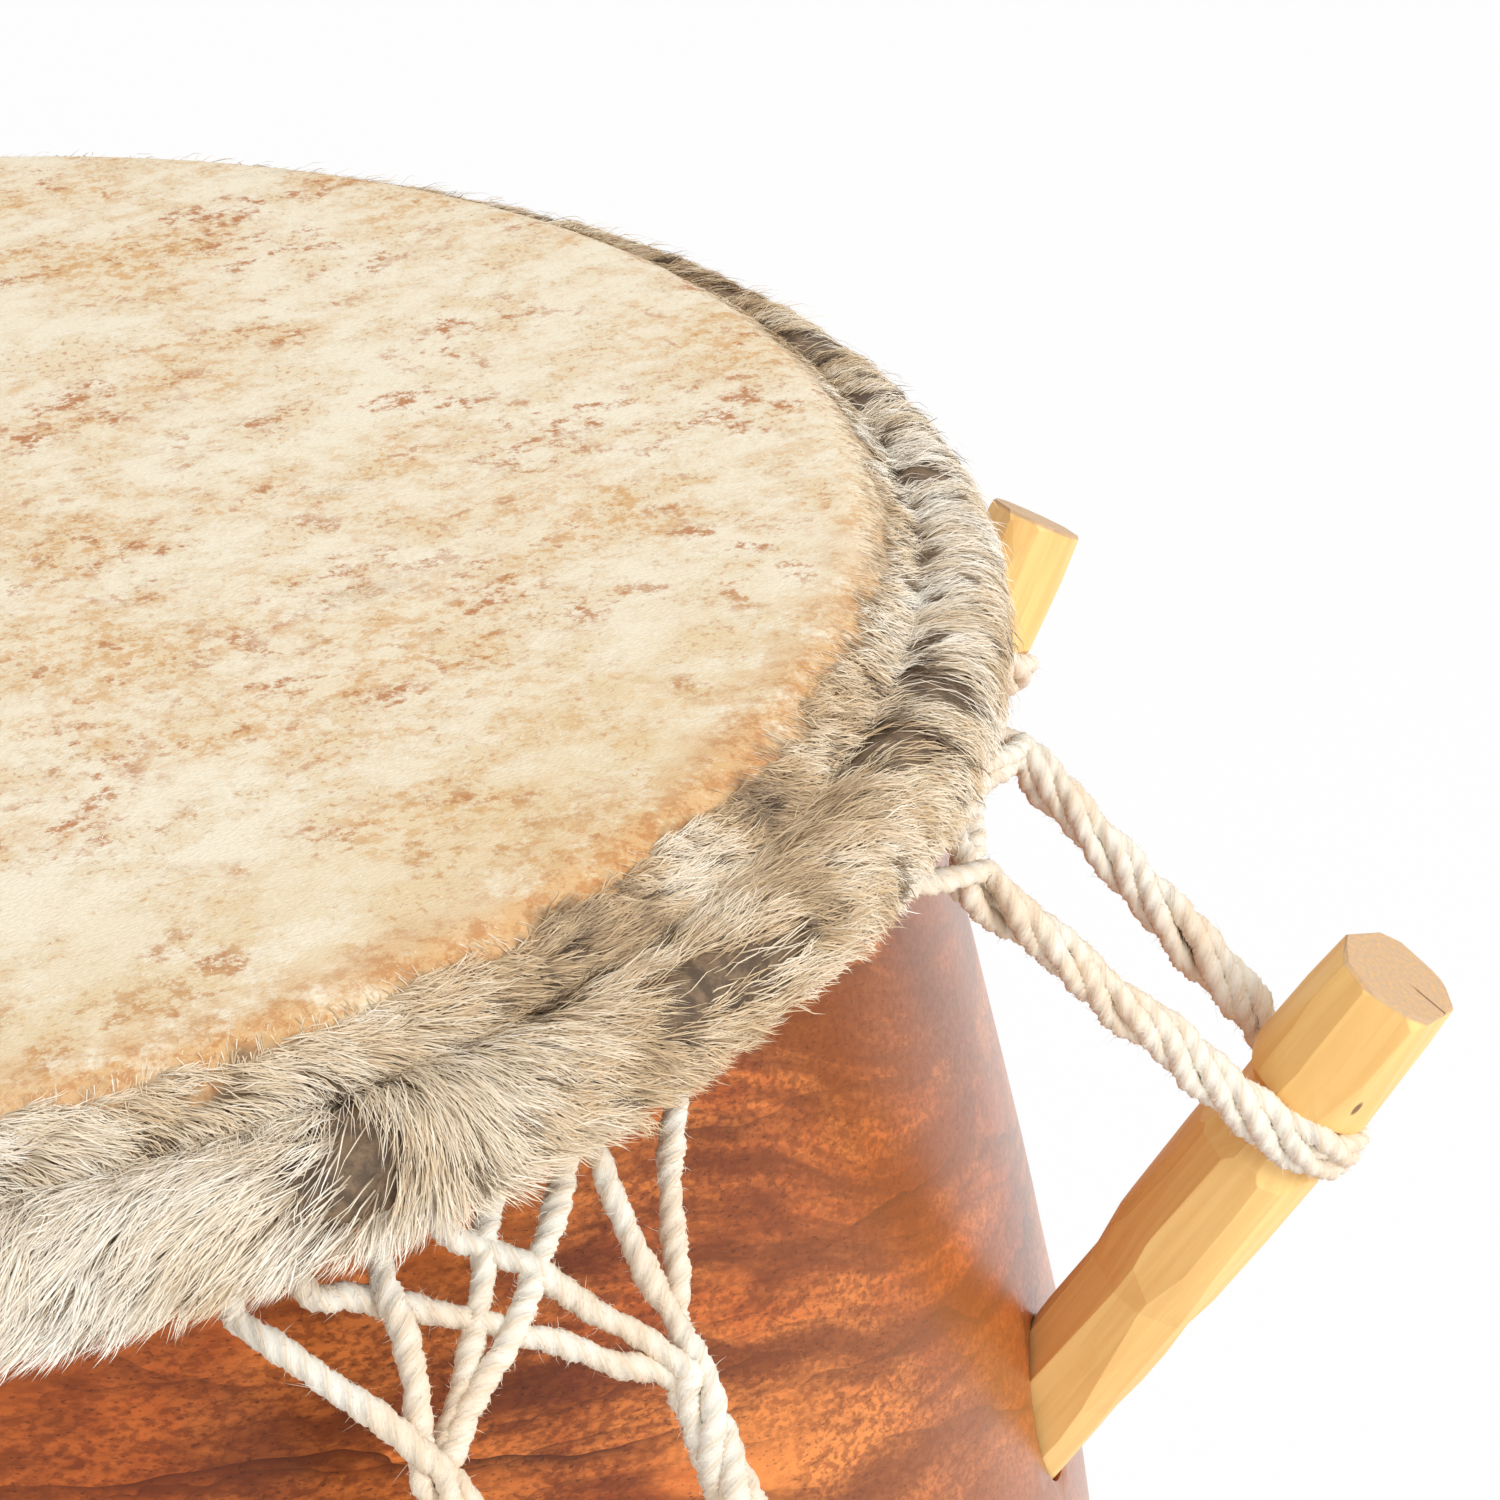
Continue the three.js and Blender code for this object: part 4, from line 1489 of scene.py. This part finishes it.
class DRUM_OT_stage(bpy.types.Operator):
    """Sets the pale floor, the soft light and the camera"""

    bl_idname = "drum.stage"
    bl_label = "Stage"

    def execute(self, context):
        settings = context.scene.drum_stage
        deselect()
        bpy.ops.mesh.primitive_plane_add(size=60, location=(0, 0, 0))
        floor = context.object
        floor.name = "floor"
        wear(floor, pale_floor(settings))

        world = bpy.data.worlds.new("studio")
        context.scene.world = world
        world.use_nodes = True
        light_sky(Nodes(world.node_tree), settings.sky)

        aim = Vector((0, 0, HEIGHT - 0.05))
        for name, place, size, power in (
            ("key", Vector((1.5, -1.5, 1.7)), 1.2, settings.key),
            ("fill", Vector((-1.5, -1.0, 2.4)), 1.4, settings.key * 0.25),
        ):
            turn = (aim - place).to_track_quat("-Z", "Y").to_euler()
            bpy.ops.object.light_add(type="AREA", location=place, rotation=turn)
            lamp = context.object
            lamp.name = name
            lamp.data.size = size
            lamp.data.energy = power

        bpy.ops.object.camera_add(
            location=(0.0266, -0.4612, 0.8946),
            rotation=[math.radians(angle) for angle in (60.734, 2.151, -12.762)],
        )
        camera = context.object
        camera.data.lens = 96
        camera.data.clip_start = 0.01
        camera.data.clip_end = 50
        context.scene.camera = camera
        context.scene.view_settings.view_transform = "Standard"
        return {"FINISHED"}


def light_sky(sky, strength):
    """Even light, seen as plain white by the camera and in what shines."""
    path = sky.node("LightPath").outputs
    seen = path["Is Camera Ray"]
    for ray in ("Is Glossy Ray", "Is Transmission Ray"):
        seen = sky.math("MAXIMUM", seen, path[ray])
    levels = {"Value": seen, "To Min": strength, "To Max": 1.0}
    background = sky.tree.nodes["Background"].inputs
    sky.feed(background["Color"], (1, 1, 1))
    sky.feed(background["Strength"], sky.node("MapRange", levels).outputs["Result"])


def pale_floor(settings):
    """A floor that takes soft shadows and otherwise looks nearly white."""
    floor = Finish("pale floor")
    grain = floor.even(floor.place(), 40, 0.3, 0.7)
    colour = floor.mix(grain, settings.floor, shade(settings.floor, 0.99))
    floor.set(base_color=colour, roughness=0.8, specular_ior_level=0.1)
    white = floor.node("Emission", {"Color": (1, 1, 1), "Strength": 1.0})
    seen = floor.times(floor.node("LightPath").outputs["Is Camera Ray"], 0.93)
    shaders = {0: seen, 1: floor.shader.outputs[0], 2: white.outputs[0]}
    shown = floor.node("MixShader", shaders).outputs[0]
    floor.feed(floor.tree.nodes["Material Output"].inputs["Surface"], shown)
    return floor.material


class DRUM_PT_panel(bpy.types.Panel):
    """Lists the steps that dress the drum"""

    bl_label = "Kpanlogo Drum"
    bl_idname = "DRUM_PT_panel"
    bl_space_type = "VIEW_3D"
    bl_region_type = "UI"
    bl_category = "Drum"

    def draw(self, context):
        for step, group in STEPS:
            box = self.layout.box()
            box.operator(step.bl_idname)
            settings = getattr(context.scene, group)
            for name in settings.__annotations__:
                box.prop(settings, name)


SETTINGS = {
    "drum_shell": DrumShellSettings,
    "drum_skin": DrumSkinSettings,
    "drum_fur": DrumFurSettings,
    "drum_pegs": DrumPegSettings,
    "drum_cord": DrumCordSettings,
    "drum_stage": DrumStageSettings,
}
STEPS = (
    (DRUM_OT_stage, "drum_stage"),
    (DRUM_OT_shell, "drum_shell"),
    (DRUM_OT_skin, "drum_skin"),
    (DRUM_OT_fur, "drum_fur"),
    (DRUM_OT_hoop, "drum_cord"),
    (DRUM_OT_pegs, "drum_pegs"),
    (DRUM_OT_lacing, "drum_cord"),
)


def register():
    for settings in SETTINGS.values():
        bpy.utils.register_class(settings)
    for name, settings in SETTINGS.items():
        setattr(bpy.types.Scene, name, bpy.props.PointerProperty(type=settings))
    for step, _ in STEPS:
        bpy.utils.register_class(step)
    bpy.utils.register_class(DRUM_PT_panel)


def unregister():
    bpy.utils.unregister_class(DRUM_PT_panel)
    for step, _ in reversed(STEPS):
        bpy.utils.unregister_class(step)
    for name in SETTINGS:
        delattr(bpy.types.Scene, name)
    for settings in SETTINGS.values():
        bpy.utils.unregister_class(settings)


def main():
    register()
    Finish.groups = {"figure": figure_group(), "band": band_group()}
    for step in ("stage", "shell", "skin", "fur", "hoop", "pegs", "lacing"):
        getattr(bpy.ops.drum, step)()
    bpy.context.view_layer.update()


if __name__ == "__main__":
    main()
